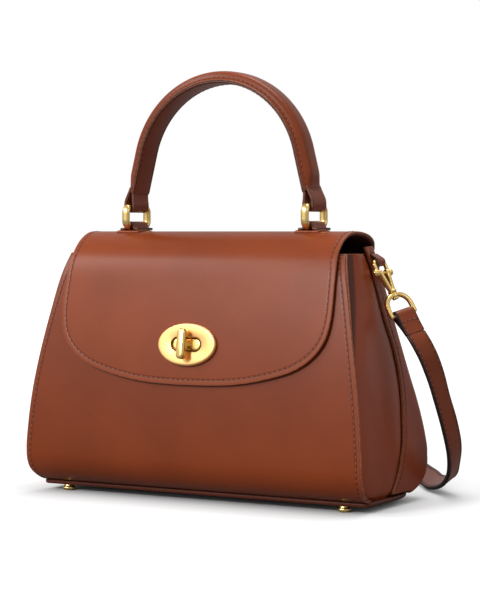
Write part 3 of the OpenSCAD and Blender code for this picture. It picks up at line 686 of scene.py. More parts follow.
outer, inner = back_shell(0.0), back_shell(PANEL_T)
on_wing = np.abs(outer[..., 0]) > half_w(rows_z)[:, None] - 1
d_seam = np.where(on_wing, np.abs(outer[..., 1] - outer[:, :1, 1]), NO_SEAM)
d_top = np.where(on_wing, outer[-1:, :, 2] - outer[..., 2], NO_SEAM)
d_row = np.where(np.abs(d_seam - WING_ROW) < np.abs(d_top - TOP_ROW), d_seam - WING_ROW, d_top - TOP_ROW)
stand_in(sheet("back_panel_leather", outer, inner, [TAN_SIDE_LIT, RIM, LINING],
               np.stack([d_row, np.minimum(d_seam, d_top)], -1)), "bag_body", "back_panel")
runs = []
z, y = np.linspace(14, 184, 120), np.linspace(seam_y(186.0) + 7, 12, 20)
for side, _ in SIDES:
    for p in (np.stack([half_w(z - 1.5), seam_y(z) + WING_ROW, z], 1),
              np.stack([np.full(len(y), half_w(183.0)), y, 184.3 + climb(y)], 1)):
        runs.append((p * [side, 1, 1], np.tile([side, 0, 0.12], (len(p), 1))))
stand_in(stitches("wing_stitches", runs), "bag_body")

# Gussets: a flange behind the front panel's edge, a fold inward, a soft ridge, and the lap under the wing
FLANGE_IN = PANEL_T + 0.25
gusset_z = np.concatenate([np.linspace(BODY_LOW + 0.3, 16, 10), np.linspace(16, PANEL_TOP + 1, 70)[1:]])


def inner_front(z):
    """Inner side of the front panel: the bend's arc below, the face above."""
    arc_y = np.sqrt(np.maximum((BEND - FLANGE_IN) ** 2 - (BEND_Z - np.minimum(z, BEND_Z)) ** 2, 0))
    return np.where(z < BEND_Z, BEND - FRONT_LOW - arc_y, front_y(z) + FLANGE_IN)


def foot_tuck(z):
    """How far the gusset's foot is tucked in: from 3 mm at the foot to 0 at 6 mm above it."""
    return 3.0 * (1 - ease(z, BODY_LOW, BODY_LOW + 6)) ** 1.5


def gusset_grid(depth):
    """Gusset rows: a spline through twelve places from the flange's edge to the lap, moved inwards by depth.

    Behind the flange a groove 4 mm deep runs down the side; with v = smooth step from 95 to 175 mm it opens
    into a fold 8.5 mm deep.
    """
    rows = []
    for z in gusset_z:
        w, y, s, v = float(half_w(z)), float(inner_front(z)), float(seam_y(z)), float(ease(z, 95, 175))
        f = 4 + 4.5 * v
        mid = y + max((0.55 + 0.07 * v) * (s - y), 16)
        c = spline([[w - 0.15 + 2.3 * v, y + 0.1], [w - 2.2, y + 0.1], [w - f, y + 0.9],
                    [w - f - 0.3, y + 2 + 2 * v], [w - f + 1.6, y + 3.2 + 4.5 * v],
                    [w - 1.9 - 1.9 * v, y + 5.5 + 6 * v], [w - 1.4 - 1.2 * v, y + 9.5 + 6.5 * v],
                    [w - 1.1 + 0.6 * v, mid], [w - 0.8, s - 7], [w - 1.5, s - 2.5], [w - 2.6, s],
                    [w - 2.7, s + 5]], 84)
        rows.append(raised(c + depth * left_of(c) - [foot_tuck(z), 0], z))
    return np.array(rows)


for side, word in SIDES:
    outer, inner = gusset_grid(0.0), gusset_grid(GUSSET_T)
    x, y, z = np.moveaxis(outer, -1, 0)
    # the gusset's folds get a negative edge distance, which the calf darkens as painted shade
    fold_shade = ease(half_w(z) - x - foot_tuck(z), 0.9, 2.7) * (y > inner_front(z) + 0.5)
    seam = np.stack([np.full(fold_shade.shape, NO_SEAM), 5 - 9 * fold_shade], -1)
    stand_in(sheet(f"gusset_{word}_leather", outer * [side, 1, 1], inner * [side, 1, 1],
                   [TAN_SIDE_LIT, RIM, LINING], seam), "bag_body", f"gusset_{word}")


# Base: a board inside and a leather slab below, with domed feet
def slab(half, y0, y1, z0, z1, front_r, back_r, edge):
    """Rings of a flat slab with rounded edges.

    Its corners are quarter ellipses back_r (x, y) at the back and quarter circles front_r at the front.
    """
    t = np.linspace(0, np.pi / 2, 17)
    c, s = np.cos(t), np.sin(t)
    back = np.stack([half - back_r[0] + back_r[0] * c, y1 - back_r[1] + back_r[1] * s], 1)
    front = np.stack([half - front_r + front_r * c, y0 + front_r - front_r * s], 1)[::-1]
    right = np.concatenate([front, back])
    p = np.concatenate([right, (right * [-1, 1])[::-1]])
    n = left_of(p, closed=True)
    return np.array([raised(p + n * edge * (1 - math.cos(a)), (z0 + z1) / 2 + (z1 - z0) / 2 * math.sin(a))
                     for a in np.linspace(-np.pi / 2, np.pi / 2, 9)])


panel, board = slab(142.2, -41.5, 47, 4.5, 8.1, 5, (20, 45), 1.2), slab(138, -35, 26, 8.3, 10, 3, (8, 8), 0.8)
# the base slab's dark calf is painted shade under the body
stand_in(loft("base_panel_leather", [panel], TAN_DARK_AND_SHADED), "bag_body", "base_panel", slot="edge_leather")
stand_in(loft("base_board_fibre", [board], BOARD), "bag_body", "base_board", slot="stiffener")
FOOT_X, FOOT_Y = (-120.5, 120.5), (-37, 43)
dome = [[0.3, 0.0], [2.6, 0.05], [3.9, 0.35], [4.7, 0.95], [5.0, 1.7], [4.9, 2.5], [4.4, 3.1], [3.9, 3.6],
        [3.8, 4.5]]
feet = [turned(dome, [x, y, 0], [0, 0, 1]) for x in FOOT_X for y in FOOT_Y]
gold("feet_domes", feet, "bag_body", "feet_studs", sharp=50)


# Flap: one profile from the back's top edge over the arch and down the front, cut to a rounded outline
arch_yz = [[26.0, 187.0], [25.7, 189.6], [22.6, 193.2], [14, 197.6], [6.4, 200.2], [-1, 201.5],
           [-8.6, 202.1], [-16, 201.5], [-22.5, 199.4], [-28.5, 196], [-33.8, 191.5], [-38, 186.3],
           [-41.3, 181], [-43.3, 176]]
drop_yz = [[face_y(z) - STACK, z] for z in (170, 162, 154, 146, 137, 128, 119, 110, 101, 95, 88.95)]
flap_yz = spline(np.array(arch_yz + drop_yz), 500)
for _ in range(3):
    flap_yz[9:-9] = sum(flap_yz[k:k + len(flap_yz) - 18] for k in range(19)) / 19
flap_s = arc(flap_yz)
FLAP_LEN = flap_s[-1]
# The flap is two nodes, parted on its way down, 20 mm before the middle
over_yz = flap_yz[:np.argmax(flap_yz[:, 1] < 170)]
SPLIT = float(np.interp(20, -over_yz[:, 0], flap_s[:len(over_yz)]))


def s_of(z):
    """Place along the flap's profile of a height on its front."""
    front = flap_s > 60
    return np.interp(-z, -flap_yz[front, 1], flap_s[front])


rim_zx = ((176, 115.7), (161, 116.2), (151, 116.4), (141, 116.2), (132, 115.0), (124, 112.6), (117, 108.4),
          (111, 102.8), (106, 96.2), (101.5, 87.6), (98, 77.5), (95, 66.0), (92.5, 54), (90.5, 40),
          (89.3, 22), (89, 8))
outline = spline([[0, 108.5], [2, 112.5], [7, FLAP_HALF], [60, FLAP_HALF], [s_of(186), FLAP_HALF + 0.2]]
                 + [[s_of(z), x] for z, x in rim_zx] + [[FLAP_LEN, 0.0]], 320)


def on_flap(s, x, depth=0.0):
    """A place on the flap and its normal: along its profile by s, across by x, inwards by depth."""
    n = along(left_of(flap_yz), flap_s, s)
    p = along(flap_yz, flap_s, s) + depth * n
    return np.concatenate([x[..., None], p], -1), np.concatenate([0 * x[..., None], -n], -1)


def from_outline(s, x):
    """Least distance from the chords of the flap's outline, for places on the flattened flap."""
    q = np.stack([s.ravel(), np.abs(x).ravel()], 1)
    best = np.full(len(q), 1e9)
    for start, d in zip(outline, np.diff(outline, axis=0)):
        share = np.clip((q - start) @ d / max(d @ d, 1e-9), 0, 1)
        best = np.minimum(best, np.hypot(*(q - start - share[:, None] * d).T))
    return best.reshape(s.shape)


def flap_grid(s0, s1, count, inset):
    """Places along and across the flap from s0 to s1, inset from its outline, even along that."""
    inside = outline - [0, inset]
    far = arc(inside)
    s = np.interp(np.linspace(*np.interp([s0, s1], inside[:, 0], far), count), far, inside[:, 0])
    x = across(101) * np.maximum(np.interp(s, *inside.T), 1.2)[:, None]
    return np.broadcast_to(s[:, None], x.shape), x


def flap_sheet(name, span, inset, near, thick, materials):
    """A sheet of the flap from a depth on, with the seam attribute from its outline."""
    s, x = flap_grid(*span, inset)
    d = from_outline(s, x)
    row = np.full(d.shape, NO_SEAM) if inset else d - STITCH_IN
    outer, inner = [on_flap(s, x, depth)[0] for depth in (near, near + thick)]
    return sheet(name, outer, inner, materials, np.stack([row, d - inset], -1))


stitch_line = outline - STITCH_IN * left_of(outline)
stitch_line = stitch_line[(stitch_line[:, 1] > 0) & (stitch_line[:, 0] > 3)]
stitch_line = np.concatenate([stitch_line, (stitch_line * [1, -1])[::-1]])
# Each part is listed with two bodies and a start and an end on its profile; the top has two stitch rows
REAR, FOLD = ((0, 24.5, 190), (0, 14, 199)), ((0, -27, 197), (0, -42, 181))
for word, rows, span, bodies, ends in (
        ("top", (1, -1), (0.0, SPLIT, 40), ("bag_body", "flap_upper"), REAR),
        ("front", (0,), (SPLIT, FLAP_LEN - 0.02, 150), ("flap_upper", "flap_lower"), FOLD)):
    leather = flap_sheet(f"flap_{word}_leather", span, 0, 0.0, FLAP_T, [TAN, RIM, LINING])
    stand_in(leather, None, f"flap_{word}")
    under = flap_sheet(f"flap_{word}_under_leather", span, 1.2, FLAP_T, UNDER_T, [TAN_DARK_AND_SHADED] * 3)
    stand_in(under, None, f"flap_{word}_lining", slot="lining_suede")
    inside = stitch_line[(stitch_line[:, 0] >= span[0]) & (stitch_line[:, 0] <= span[1])]
    runs = [on_flap(*inside[inside[:, 1] * row >= 0].T) for row in rows]
    thread_row = stitches(f"flap_{word}_stitches", runs)
    stand_in(thread_row, None)
    for obj in (leather, under, thread_row):
        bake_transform(obj)


# Turn lock: a plate and its eyelet on the flap, a base through the front panel, and the knob
def on_lock(p):
    """Local (right, up, out) of the leaning front face to the frame."""
    return p @ turning(np.pi / 2 - LOCK_LEAN, 1, 2).T + [0, face_y(LOCK_Z), LOCK_Z]


def layers(shape, *steps):
    """Rings of an outline on the lock's face at (inset, height) steps; shape(inset) gives the outline."""
    return on_lock(np.array([raised(shape(inset), height) for inset, height in steps]))


def resampled(shape, count):
    """A closed outline at count places evenly by arc length, from its first point."""
    p = np.concatenate([shape, shape[:1]])
    s = arc(p)
    return along(p, s, np.linspace(0, s[-1], count, endpoint=False))


def by_angle(shape):
    """A closed outline round its middle, at evenly spaced angles; its straight sides get points first."""
    shape = resampled(shape, 1440)
    a = np.arctan2(shape[:, 1], shape[:, 0])
    order = np.argsort(a)
    a, r = a[order], np.hypot(*shape[order].T)
    at = np.linspace(-np.pi, np.pi, 120, endpoint=False)
    r = np.interp(at, np.concatenate([a - 2 * np.pi, a, a + 2 * np.pi]), np.tile(r, 3))
    return np.stack([r * np.cos(at), r * np.sin(at)], 1)


TOP = STACK + 3.0
plate = layers(lambda i: by_angle(oval(25 - i, 16 - i, 360)), (1.0, STACK - .15), (0, STACK + .1),
               (0, STACK + 1.9), (.15, STACK + 2.35), (.6, STACK + 2.75), (1.15, STACK + 2.95), (1.8, TOP))
slot = layers(lambda i: by_angle(stadium(26 - 2 * i, 10.6 - 2 * i, 240)), (-.65, TOP), (-.35, TOP - .08),
              (-.3, TOP - .4), (-.3, STACK - .15))
gold("lock_plate_gold", [(np.concatenate([plate, slot]),)], "flap_lower", "lock_plate", paint=SATIN, sharp=30)
eye = layers(lambda i: stadium(26 - i, 10.6 - i, 96), (-.55, .6), (-.55, TOP - .3), (-.3, TOP + .05),
             (0, TOP - .1), (0, .6))
gold("lock_eyelet_gold", [(eye,)], "flap_lower", "lock_eyelet", sharp=30)
boss = layers(lambda i: stadium(24 - i, 8.6 - i, 96), (0, 0), (0, TOP - 1.3), (.3, TOP - .85),
              (1.0, TOP - .65), (3.0, TOP - .6))
base = layers(lambda i: stadium(30, 14.6, 96), (0, -1.2), (0, -.02))
gold("lock_base_gold", [boss, base], "bag_body", "lock_base", sharp=30)
bar = layers(lambda i: stadium(23 - 2 * i, 7 - 2 * i)[:, ::-1], (.9, TOP + 3.0), (.25, TOP + 3.15),
             (0, TOP + 3.6), (0, TOP + 7.4), (.25, TOP + 8.1), (.85, TOP + 8.75), (1.6, TOP + 9.0))
stem = layers(lambda r: oval(r, r, 48), (2.5, .1), (2.5, TOP + 2.2), (2.9, TOP + 2.8), (3.1, TOP + 3.4))
gold("lock_knob_gold", [bar, stem], "knob", "lock_knob", sharp=30)

# Handle: a lining strap, a padded cover and a painted edge, carried along both legs and the arch
HANDLE_W, HANDLE_ROW, COVER_OUT, DOME = 24.0, 2.0, 2.1, 5.2
X_DIR, Y_DIR = np.array([[1.0, 0.0, 0.0]]), np.array([[0.0, 1.0, 0.0]])
arch = np.linspace(LEG_LEAN, math.pi - LEG_LEAN, 97)
out = np.stack([np.cos(arch), 0 * arch, np.sin(arch)], 1)
leg = np.linspace(1, 0, 17)[:-1, None] * LEG_LEN * np.array([math.sin(LEG_LEAN), 0, -math.cos(LEG_LEAN)])
line = ARCH_R * out
line = np.concatenate([line[:1] + leg, line, line[-1:] + leg[::-1] * [-1, 1, 1]]) + [0, RING_Y, ARCH_Z]
out = np.concatenate([np.tile(out[:1], (16, 1)), out, np.tile(out[-1:], (16, 1))])
# Points round each edge of a strap's section
EDGE_POINTS = 7


def band_section(width, low, high, dome=0.0, margin=0.0, belly=0.0, count=33):
    """Section of a strap (across, out), round at both edges.

    Above, a margin rises to the stitch row and a dome of dome x (1 - (x/h)^4)^0.5 stands between the rows;
    below, a belly of belly x (1 - (x/h)^2).
    """
    h, r = width / 2, (high - low) / 2
    x = across(count) * (h - r)
    swell = dome * np.clip(1 - (x / (h - 2.2)) ** 4, 0, 1) ** 0.5 + margin * ease(h - np.abs(x), r, 2.2)
    top = np.stack([x, high + swell], 1)
    a = np.linspace(np.pi / 2, -np.pi / 2, EDGE_POINTS + 2)[1:-1]
    right = np.stack([h - r + r * 0.8 * np.cos(a), (low + high) / 2 + r * np.sin(a)], 1)
    bottom = np.stack([x[::-1], low - belly * (1 - (x / h) ** 2)], 1)
    return np.concatenate([top, right, bottom, right[::-1] * [-1, 1]])


def strap_piece(name, path, side, up, section, width, inset, materials):
    """A strap carried along a path: its two faces, and its painted edges as the second material."""
    rings = sweep(path, side, up, section)
    count = rings.shape[1]
    edges = np.arange(count) % (count // 2) >= count // 2 - EDGE_POINTS - 1
    from_edge = width / 2 - np.broadcast_to(np.abs(section[..., 0]), rings.shape[:2])
    return piece(name, rings, join(rings), materials, [np.tile(edges, len(path) - 1), 1, 1],
                 np.stack([from_edge - inset, from_edge - 0.1], -1))


under = band_section(HANDLE_W, 0, 1.0, belly=1.0)
stand_in(strap_piece("handle_lining_leather", line, Y_DIR, out, under, HANDLE_W, HANDLE_ROW,
                     [TAN, EDGE_BROWN]), "handle", "handle_lining", slot="edge_leather")
s = arc(line)
foot_share = 0.42 + 0.58 * ease(np.minimum(s, s[-1] - s), 0, 14)
covers = np.array([band_section(HANDLE_W, 1.05, COVER_OUT, dome=DOME * f, margin=1.7) for f in foot_share])
stand_in(strap_piece("handle_cover_leather", line, Y_DIR, out, covers, HANDLE_W, HANDLE_ROW,
                     [TAN, EDGE_BROWN]), "handle", "handle_cover")
core = sweep(line[3:-3], Y_DIR, out[3:-3], oval(5.5, 1.1, 24, 3) + [0, 4.4])
stand_in(loft("handle_core_padding", [core], BOARD), "handle", "handle_core", slot="stiffener")
# a stitch row along both margins above and below, and one across each foot
runs = [(line + out * r + Y_DIR * side * (HANDLE_W / 2 - HANDLE_ROW), unit(out * way + Y_DIR * side * tilt))
        for side, _ in SIDES for r, tilt, way in ((3.78, 0.7, 1), (-0.3, 0, -1))]
y = np.linspace(-8.6, 8.6, 24)[:, None]
runs += [(line[end] + out[end] * (3.85 + DOME * foot_share[end] * np.sqrt(1 - (y / 9.8) ** 4)) + Y_DIR * y,
          np.tile(out[end], (24, 1))) for end in (1, -2)]
stand_in(stitches("handle_stitches", runs, thick=0.28), "handle")


def fold_band(node, body, xz, side, middle, width, thick, count=90):
    """A leather band folded round a bar: a profile in X and Z, its width along Y, its edges rounded."""
    c = spline(xz, count)
    path, up = [np.stack([side * v[:, 0], np.full(count, y), v[:, 1]], 1)
                for v, y in ((c, middle), (left_of(c), 0.0))]
    section = band_section(width, -thick / 2, thick / 2, count=13)
    stand_in(strap_piece(f"{node}_leather", path, Y_DIR, up, section, width, -NO_SEAM,
                         [TAN, EDGE_BROWN]), body, node)


def round_bar(cx, cz, r, a0, a1, count=9):
    """Points of an arc round a bar, from one angle to the other, in degrees."""
    a = np.radians(np.linspace(a0, a1, count))
    return np.stack([cx + r * np.cos(a), cz + r * np.sin(a)], 1).tolist()


# The handle's ring in Y and Z: an oval link with round corners
RING_HALF, RING_BEND, PATCH_HALF = 15.0, 5.0, 9.5
ring_half_z = (RING_HIGH - RING_LOW) / 2
q = np.radians(np.linspace(0, 90, 10))
ring_yz = resampled(np.concatenate([
    np.stack([cy * (RING_HALF - RING_BEND) + RING_BEND * np.cos(q + turn),
              cz * (ring_half_z - RING_BEND) + RING_BEND * np.sin(q + turn)], 1)
    for cy, cz, turn in ((1, 1, 0), (-1, 1, np.pi / 2), (-1, -1, np.pi), (1, -1, 1.5 * np.pi))]), 120)
tab_foot = [[8, 203.7], [6, 203.75], [4.2, 204.3]]
for side, word in SIDES:
    # loop from the lining's foot round the ring's upper bar to the cover's foot
    fold_band(f"handle_loop_{word}", "handle", [[74.6, 234.0], [75.25, 230.8], [75.2, 226.5]]
              + round_bar(RING_X, RING_HIGH, 3.75, 176, 364)
              + [[81.9, 225.2], [80.2, 229.2], [78.6, 232.4], [77.2, 235.6]], side, RING_Y, 22, 2.3)
    fold_band(f"handle_tab_{word}", "flap_upper", [[RING_X - x, z] for x, z in tab_foot]
              + round_bar(RING_X, RING_LOW, 3.4, 172, 8) + [[RING_X + x, z] for x, z in tab_foot[::-1]],
              side, RING_Y, 22, 1.9)
    # patch that follows the arch
    s0, s1 = np.interp([-RING_Y - 13, 13 - RING_Y], -flap_yz[:200, 0], flap_s[:200])
    s, x = np.meshgrid(np.linspace(s0, s1, 40), np.linspace(-PATCH_HALF, PATCH_HALF, 24), indexing="ij")
    outer, inner = [on_flap(s, side * (RING_X + x), depth)[0] for depth in (-1.3, 0.1)]
    d = np.minimum(PATCH_HALF - np.abs(x), np.minimum(s - s0, s1 - s))
    stand_in(sheet(f"handle_patch_{word}_leather", outer, inner, [TAN, RIM, LINING],
                   np.stack([d - 2.2, d], -1)), "flap_upper", f"handle_patch_{word}")
    # ring, wide in X along its uprights and round inside the leather
    path = np.column_stack([np.full(120, side * RING_X), ring_yz + [RING_Y, RING_LOW + ring_half_z]])
    flat = ease(np.abs(ring_yz[:, 0]), 10.5, 14.2)[:, None, None]
    section = oval(2.2, 2.2, 24) * (1 - flat) + oval(3.1, 2.0, 24, 2.6) * flat
    ring = sweep(path, X_DIR, np.cross(tangents(path, closed=True), X_DIR), section)
    gold(f"handle_ring_{word}_gold", [(ring,)], f"ring_{word}", f"handle_ring_{word}")

# Side clasps, worked out for the right side; the left one is the mirror image
BAR = np.array([122.5, 13.5, 179.5])
PIN_DROP = 8.9
PIN_LEAN = math.asin(3.7 / PIN_DROP)
CLASP_LEAN, TURN = math.radians(29.3), math.radians(28.8)
HANG = np.array([math.sin(PIN_LEAN), 0, -math.cos(PIN_LEAN)])
PIN = BAR + PIN_DROP * HANG
# How far the swivel hangs below the pin, and the strap's bar below that; the loop's half width and bends
SWIVEL_DROP, BAR_DROP, LOOP_HALF, LOOP_BEND = 18.8, 15.7, 10.75, 9.5


def at_pin(p, side):
    """Local clasp frame, hanging from the pin, to the fitted frame."""
    return (p @ turning(CLASP_LEAN, 0, 2).T + PIN) * [side, 1, 1]


def at_loop(p, side):
    """Local frame of the swivelling loop, turned about the clasp's own line."""
    return at_pin(p @ turning(TURN, 1, 0).T - [0, 0, SWIVEL_DROP], side)


def rod(path, radius, power, normal, ends=True):
    """Round stock along a flat path with this normal; its ends close like a ball."""
    a = unit(normal)[None]
    size = np.ones(len(path))
    if ends:
        s = arc(path)
        near = np.minimum(s, s[-1] - s)
        size = np.sqrt(np.clip(1 - (1 - np.clip(near / radius, 0, 1)) ** 2, 0.03, 1))
    return sweep(path, a, np.cross(tangents(path), a), oval(radius, radius, 20, power) * size[:, None, None])


def dense_ends(path, radius, count):
    """A path resampled with extra places within a radius of both ends, for ball ends."""
    s = arc(path)
    k = radius * (1 - np.cos(np.linspace(0, np.pi / 2, 7)))
    middle = np.linspace(radius, s[-1] - radius, count)
    return along(path, s, np.concatenate([k[:-1], middle, s[-1] - k[-2::-1]]))


shackle_yz = spline([[-9, 7.4], [-9, 4], [-8.8, 1.8], [-7.6, .4], [-5.5, 0], [0, 0], [5.5, 0], [7.6, .4],
                     [8.8, 1.8], [9, 4], [9, 7.4]], 60)
# prongs: rounded above the pin, then narrowing down to the hub
prong_z = np.concatenate([2.4 - 2.4 * np.linspace(0, 1, 7) ** 2 * 0.55, np.linspace(.6, -15.9, 24)])
prong_end = np.concatenate([np.sqrt(np.clip(1 - ((prong_z[:7] - 0.2) / 2.25) ** 2, .02, 1)), np.ones(24)])
prong_x = np.interp(prong_z, [-15.9, -3, 3], [1.8, 2.5, 2.6]) * prong_end
prong_y = np.interp(prong_z, [-15.9, -3, 3], [1.6, 1.5, 1.5]) * (0.5 + 0.5 * prong_end)
prong = oval(1, 1, 24, 3.2) * np.stack([prong_x, prong_y], 1)[:, None]
prong = np.concatenate([prong, np.broadcast_to(prong_z[:, None, None], prong.shape[:2] + (1,))], -1)
prong_out = np.interp(prong_z, [-15.9, -1.5, 3], [1.9, 5.9, 5.9])[:, None, None] * Y_DIR
hub_profile = [[.4, 14.2], [2.0, 14.4], [3.0, 14.9], [3.4, 15.5], [3.4, 16.1], [3.0, 16.7], [2.3, 17.0],
               [1.4, 17.05], [1.3, 21.7], [.4, 21.8]]
# the swivelling loop's bowed U, in Y and Z
q = np.radians(np.linspace(0, 90, 12))
bow = np.concatenate([[[LOOP_HALF, -17.2]], np.stack([LOOP_HALF - LOOP_BEND * (1 - np.cos(q)),
                                                      LOOP_BEND * (np.sin(q) - 1)], 1)])
bow = np.concatenate([bow, (bow * [-1, 1])[::-1]])
bow = dense_ends(spline(bow, 200), 1.9, 80)
for side, word in SIDES:
    mirrored = np.array([side, 1, 1])
    arms = (BAR + shackle_yz[:, :1] * Y_DIR + shackle_yz[:, 1:] * HANG) * mirrored
    bow_rod = rod(arms, 1.5, 2.4, np.cross(HANG * mirrored, Y_DIR[0]), ends=False)
    eyes = [turned(round_profile(2.35, -1.2, 1.2, .45), (PIN + [0, y, 0]) * mirrored, Y_DIR[0], 40)
            for y in (-9, 9)]
    gold(f"shackle_{word}_gold", [bow_rod] + eyes, f"shackle_{word}", f"shackle_{word}")
    origin = at_pin([0, 0, 0], side)
    heads = [turned(ball(2.6), at_pin([0, y, 0], side), Y_DIR[0], 40) for y in (-12.0, 12.0)]
    shaft = turned(round_profile(1.0, -12, 12, .3), origin, Y_DIR[0], 24)
    gold(f"shackle_pin_{word}_gold", heads + [shaft], f"shackle_{word}", f"shackle_pin_{word}")
    # dark discs on the balls' ends: painted shade for the slots in the pin
    dots = [turned(round_profile(.55, -.12, .12, .05), at_pin([0, y, 0], side), Y_DIR[0], 16)
            for y in (-14.55, 14.55)]
    gold(f"pin_slots_{word}", dots, f"shackle_{word}", paint=SHADOWED)
    axis = at_pin([0, 0, -1], side) - origin
    prongs = [at_pin(prong + way * prong_out, side) for way in (-1, 1)]
    gold(f"clasp_fork_{word}_gold", prongs + [turned(hub_profile, origin, axis, 40)], f"fork_{word}",
         f"clasp_fork_{word}")
    collar = turned(round_profile(2.6, 20.8, 22.2, .5), origin, axis, 40)
    gold(f"swivel_collar_{word}_gold", [collar], f"fork_{word}", f"swivel_collar_{word}")
    # swivelling loop: a bowed U with ball ends, the strap's bar across it, and its eye round the swivel
    x_way, y_way = [unit(at_loop(v, side) - at_loop([0, 0, 0], side)) for v in ([1, 0, 0], [0, 1, 0])]
    bowed_rod = rod(at_loop(np.pad(bow, ((0, 0), (1, 0))), side), 1.9, 2.3, x_way)
    cross = turned(round_profile(1.6, 0, 2 * LOOP_HALF, .3), at_loop([0, -LOOP_HALF, -BAR_DROP], side),
                   y_way, 24)
    eye = turned([[1.4, -1.75], [2.6, -1.7], [3.0, -1.35], [3.1, 0], [3.0, 1.35], [2.6, 1.7], [1.4, 1.75]],
                 at_loop([0, 0, 0], side), axis, 40)
    gold(f"swivel_loop_{word}_gold", [bowed_rod, cross, eye], f"loop_{word}", f"swivel_loop_{word}")
    fold_band(f"side_tab_{word}", "bag_body", [[116.9, 184.6], [119.2, 184.2], [121.6, 182.9]]
              + round_bar(BAR[0], BAR[2], 2.5, 62, -100, 8)
              + [[120.4, 176.1], [119.0, 174.9], [118.2, 173.9]], side, BAR[1], 11.5, 2.0, 60)

# Shoulder strap: the route's points and the direction of its width, as in the part's source
ROUTE = np.array([
    [153.5, 12.3, 127.1, .42, .876, .236], [156.9, 11.9, 122.5, .42, .876, .236],
    [160.8, 14.5, 114, .40, .90, .20], [164.4, 22, 98, .34, .90, .27],
    [167, 30, 78, .24, .88, .41], [168.5, 40, 58, .27, .83, .49],
    [167, 52, 39, .26, .79, .56], [159, 68, 22, .25, .75, .61], [149, 82, 12, .48, .68, .56],
    [131, 100, 6.8, .60, .58, .55], [116, 120, 7.4, .58, .55, .60], [100, 140, 8.2, .52, .50, .69],
    [83, 161, 9.2, .35, .30, .88], [67, 173, 9.5, 0, 0, 1], [54, 163, 9.5, 0, 0, 1], [51, 145, 9.5, 0, 0, 1],
    [50, 120, 9.5, 0, 0, 1], [46, 103, 9.5, 0, 0, 1], [34, 94, 9.5, 0, 0, 1], [22, 103, 9.5, 0, 0, 1],
    [18, 120, 9.5, 0, 0, 1], [17, 150, 9.5, 0, 0, 1], [14, 172, 9.5, 0, 0, 1], [0, 184, 9.5, 0, 0, 1]])
ROUTE = np.concatenate([ROUTE, (ROUTE[:-1] * [-1, 1, 1, -1, 1, 1])[::-1]])
STRAP_W, STRAP_T, STRAP_ROW = 18.0, 3.0, 2.4
row_x = STRAP_W / 2 - STRAP_ROW
whole = spline(ROUTE, 481)
centre, width_dir = whole[:, :3], unit(whole[:, 3:])
# the strap lies on the floor, clear of it by its own tilted section
rise = STRAP_W / 2 * np.abs(width_dir[:, 2]) + STRAP_T / 2 * np.sqrt(1 - width_dir[:, 2] ** 2)
centre[:, 2] = np.maximum(centre[:, 2], rise + 0.15)
t = tangents(centre)
width_dir = unit(width_dir - t * (t * width_dir).sum(1, keepdims=True))
face_dir = np.cross(t, width_dir)
strap_s = arc(centre)
cuts = [0, 34, 68, 100, 156]
stops = [int(np.argmin(np.abs(strap_s - x))) for x in cuts + [strap_s[-1] - x for x in cuts[::-1]]]
# The short parts at both ends are paired with two links of the clasps and baked in place; the long one
# between them rides on the body
right, left = [[f"{link}_{word}" for link in ("end", "loop", "fork", "shackle")] + ["bag_body"]
               for word in ("right", "left")]
chain = [*zip(right, right[1:]), None, *zip(left[::-1], left[-2::-1])]
for number, (a, b, pair) in enumerate(zip(stops[:-1], stops[1:], chain), 1):
    p, w, f = centre[a:b + 1], width_dir[a:b + 1], face_dir[a:b + 1]
    obj = strap_piece(f"strap_part_{number}" if pair else "strap_leather", p, w, f,
                      band_section(STRAP_W, -STRAP_T / 2, STRAP_T / 2, count=17), STRAP_W, STRAP_ROW,
                      [STRAP_CALF, EDGE])
    rows = [(p + w * x + f * h, f * np.sign(h)) for x in (-row_x, row_x) for h in (STRAP_T / 2, -STRAP_T / 2)]
    thread_row = stitches(f"strap_stitches_{number}", rows, thick=0.3)
    for o in (obj, thread_row):
        if pair:
            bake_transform(o)
        else:
            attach(o, "bag_body")
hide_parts("shoulder_strap")

# Folded ends of the strap round the loops' bars
END_LEAN, END_HALF = math.radians(8), 1.62
turn_up = round_bar(0, 0, 3.8, 160, 20)
end_xz = spline([[-END_HALF, -17], [-2.0, -12], [-3.3, -4], [-3.8, 0]] + turn_up
                + [[3.8, 0], [3.3, -4], [2.0, -12], [END_HALF, -17]], 60)
end_xz = np.concatenate([end_xz, raised(np.linspace(END_HALF, -END_HALF, 6)[1:-1, None], -17.0)])
end_in = left_of(end_xz, closed=True)
end_in *= -np.sign((end_in * end_xz).sum())
# rings across its width, drawn in at both edges
end_steps = ((-8.7, 1.0), (-8.55, .45), (-8.2, .12), (-7.6, 0), (-4, 0), (0, 0), (4, 0), (7.6, 0), (8.2, .12),
             (8.55, .45), (8.7, 1.0))


def at_end(x, z, y, side):
    """Local frame of the strap's end, which leans about the loop's bar."""
    p = np.stack(np.broadcast_arrays(x, y, z), -1)
    return at_loop(p @ turning(END_LEAN, 0, 2).T - [0, 0, BAR_DROP], side)


for side, word in SIDES:
    rings = np.array([at_end(*(end_xz + end_in * inset).T, y, side) for y, inset in end_steps])
    painted = np.repeat([1, 1, 1, 0, 0, 0, 0, 1, 1, 1], rings.shape[1])
    stand_in(piece(f"strap_end_{word}_leather", rings, join(rings), [STRAP_CALF, EDGE], [painted, 1, 1]),
             f"end_{word}", f"strap_end_{word}")
    rows = []
    z, y = np.linspace(-16.5, -7.5, 8), np.linspace(-row_x, row_x, 8)
    for way in (-1, 1):
        n = np.tile(at_end(way, 0, 0, side) - at_end(0, 0, 0, side), (8, 1))
        x = way * np.interp(z, [-17, -12, -4], [END_HALF, 2.0, 3.3])
        rows += [(at_end(x, z, at, side), n) for at in (-row_x, row_x)]
        rows.append((at_end(way * 2.8, -7.2, y, side), n))
    stand_in(stitches(f"strap_end_{word}_stitches", rows), f"end_{word}")

# Small CAD pieces that stay as they are
for node in ("feet_washers", "lock_washer"):
    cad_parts[node].data.materials.clear()
    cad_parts[node].data.materials.append(BRASS)
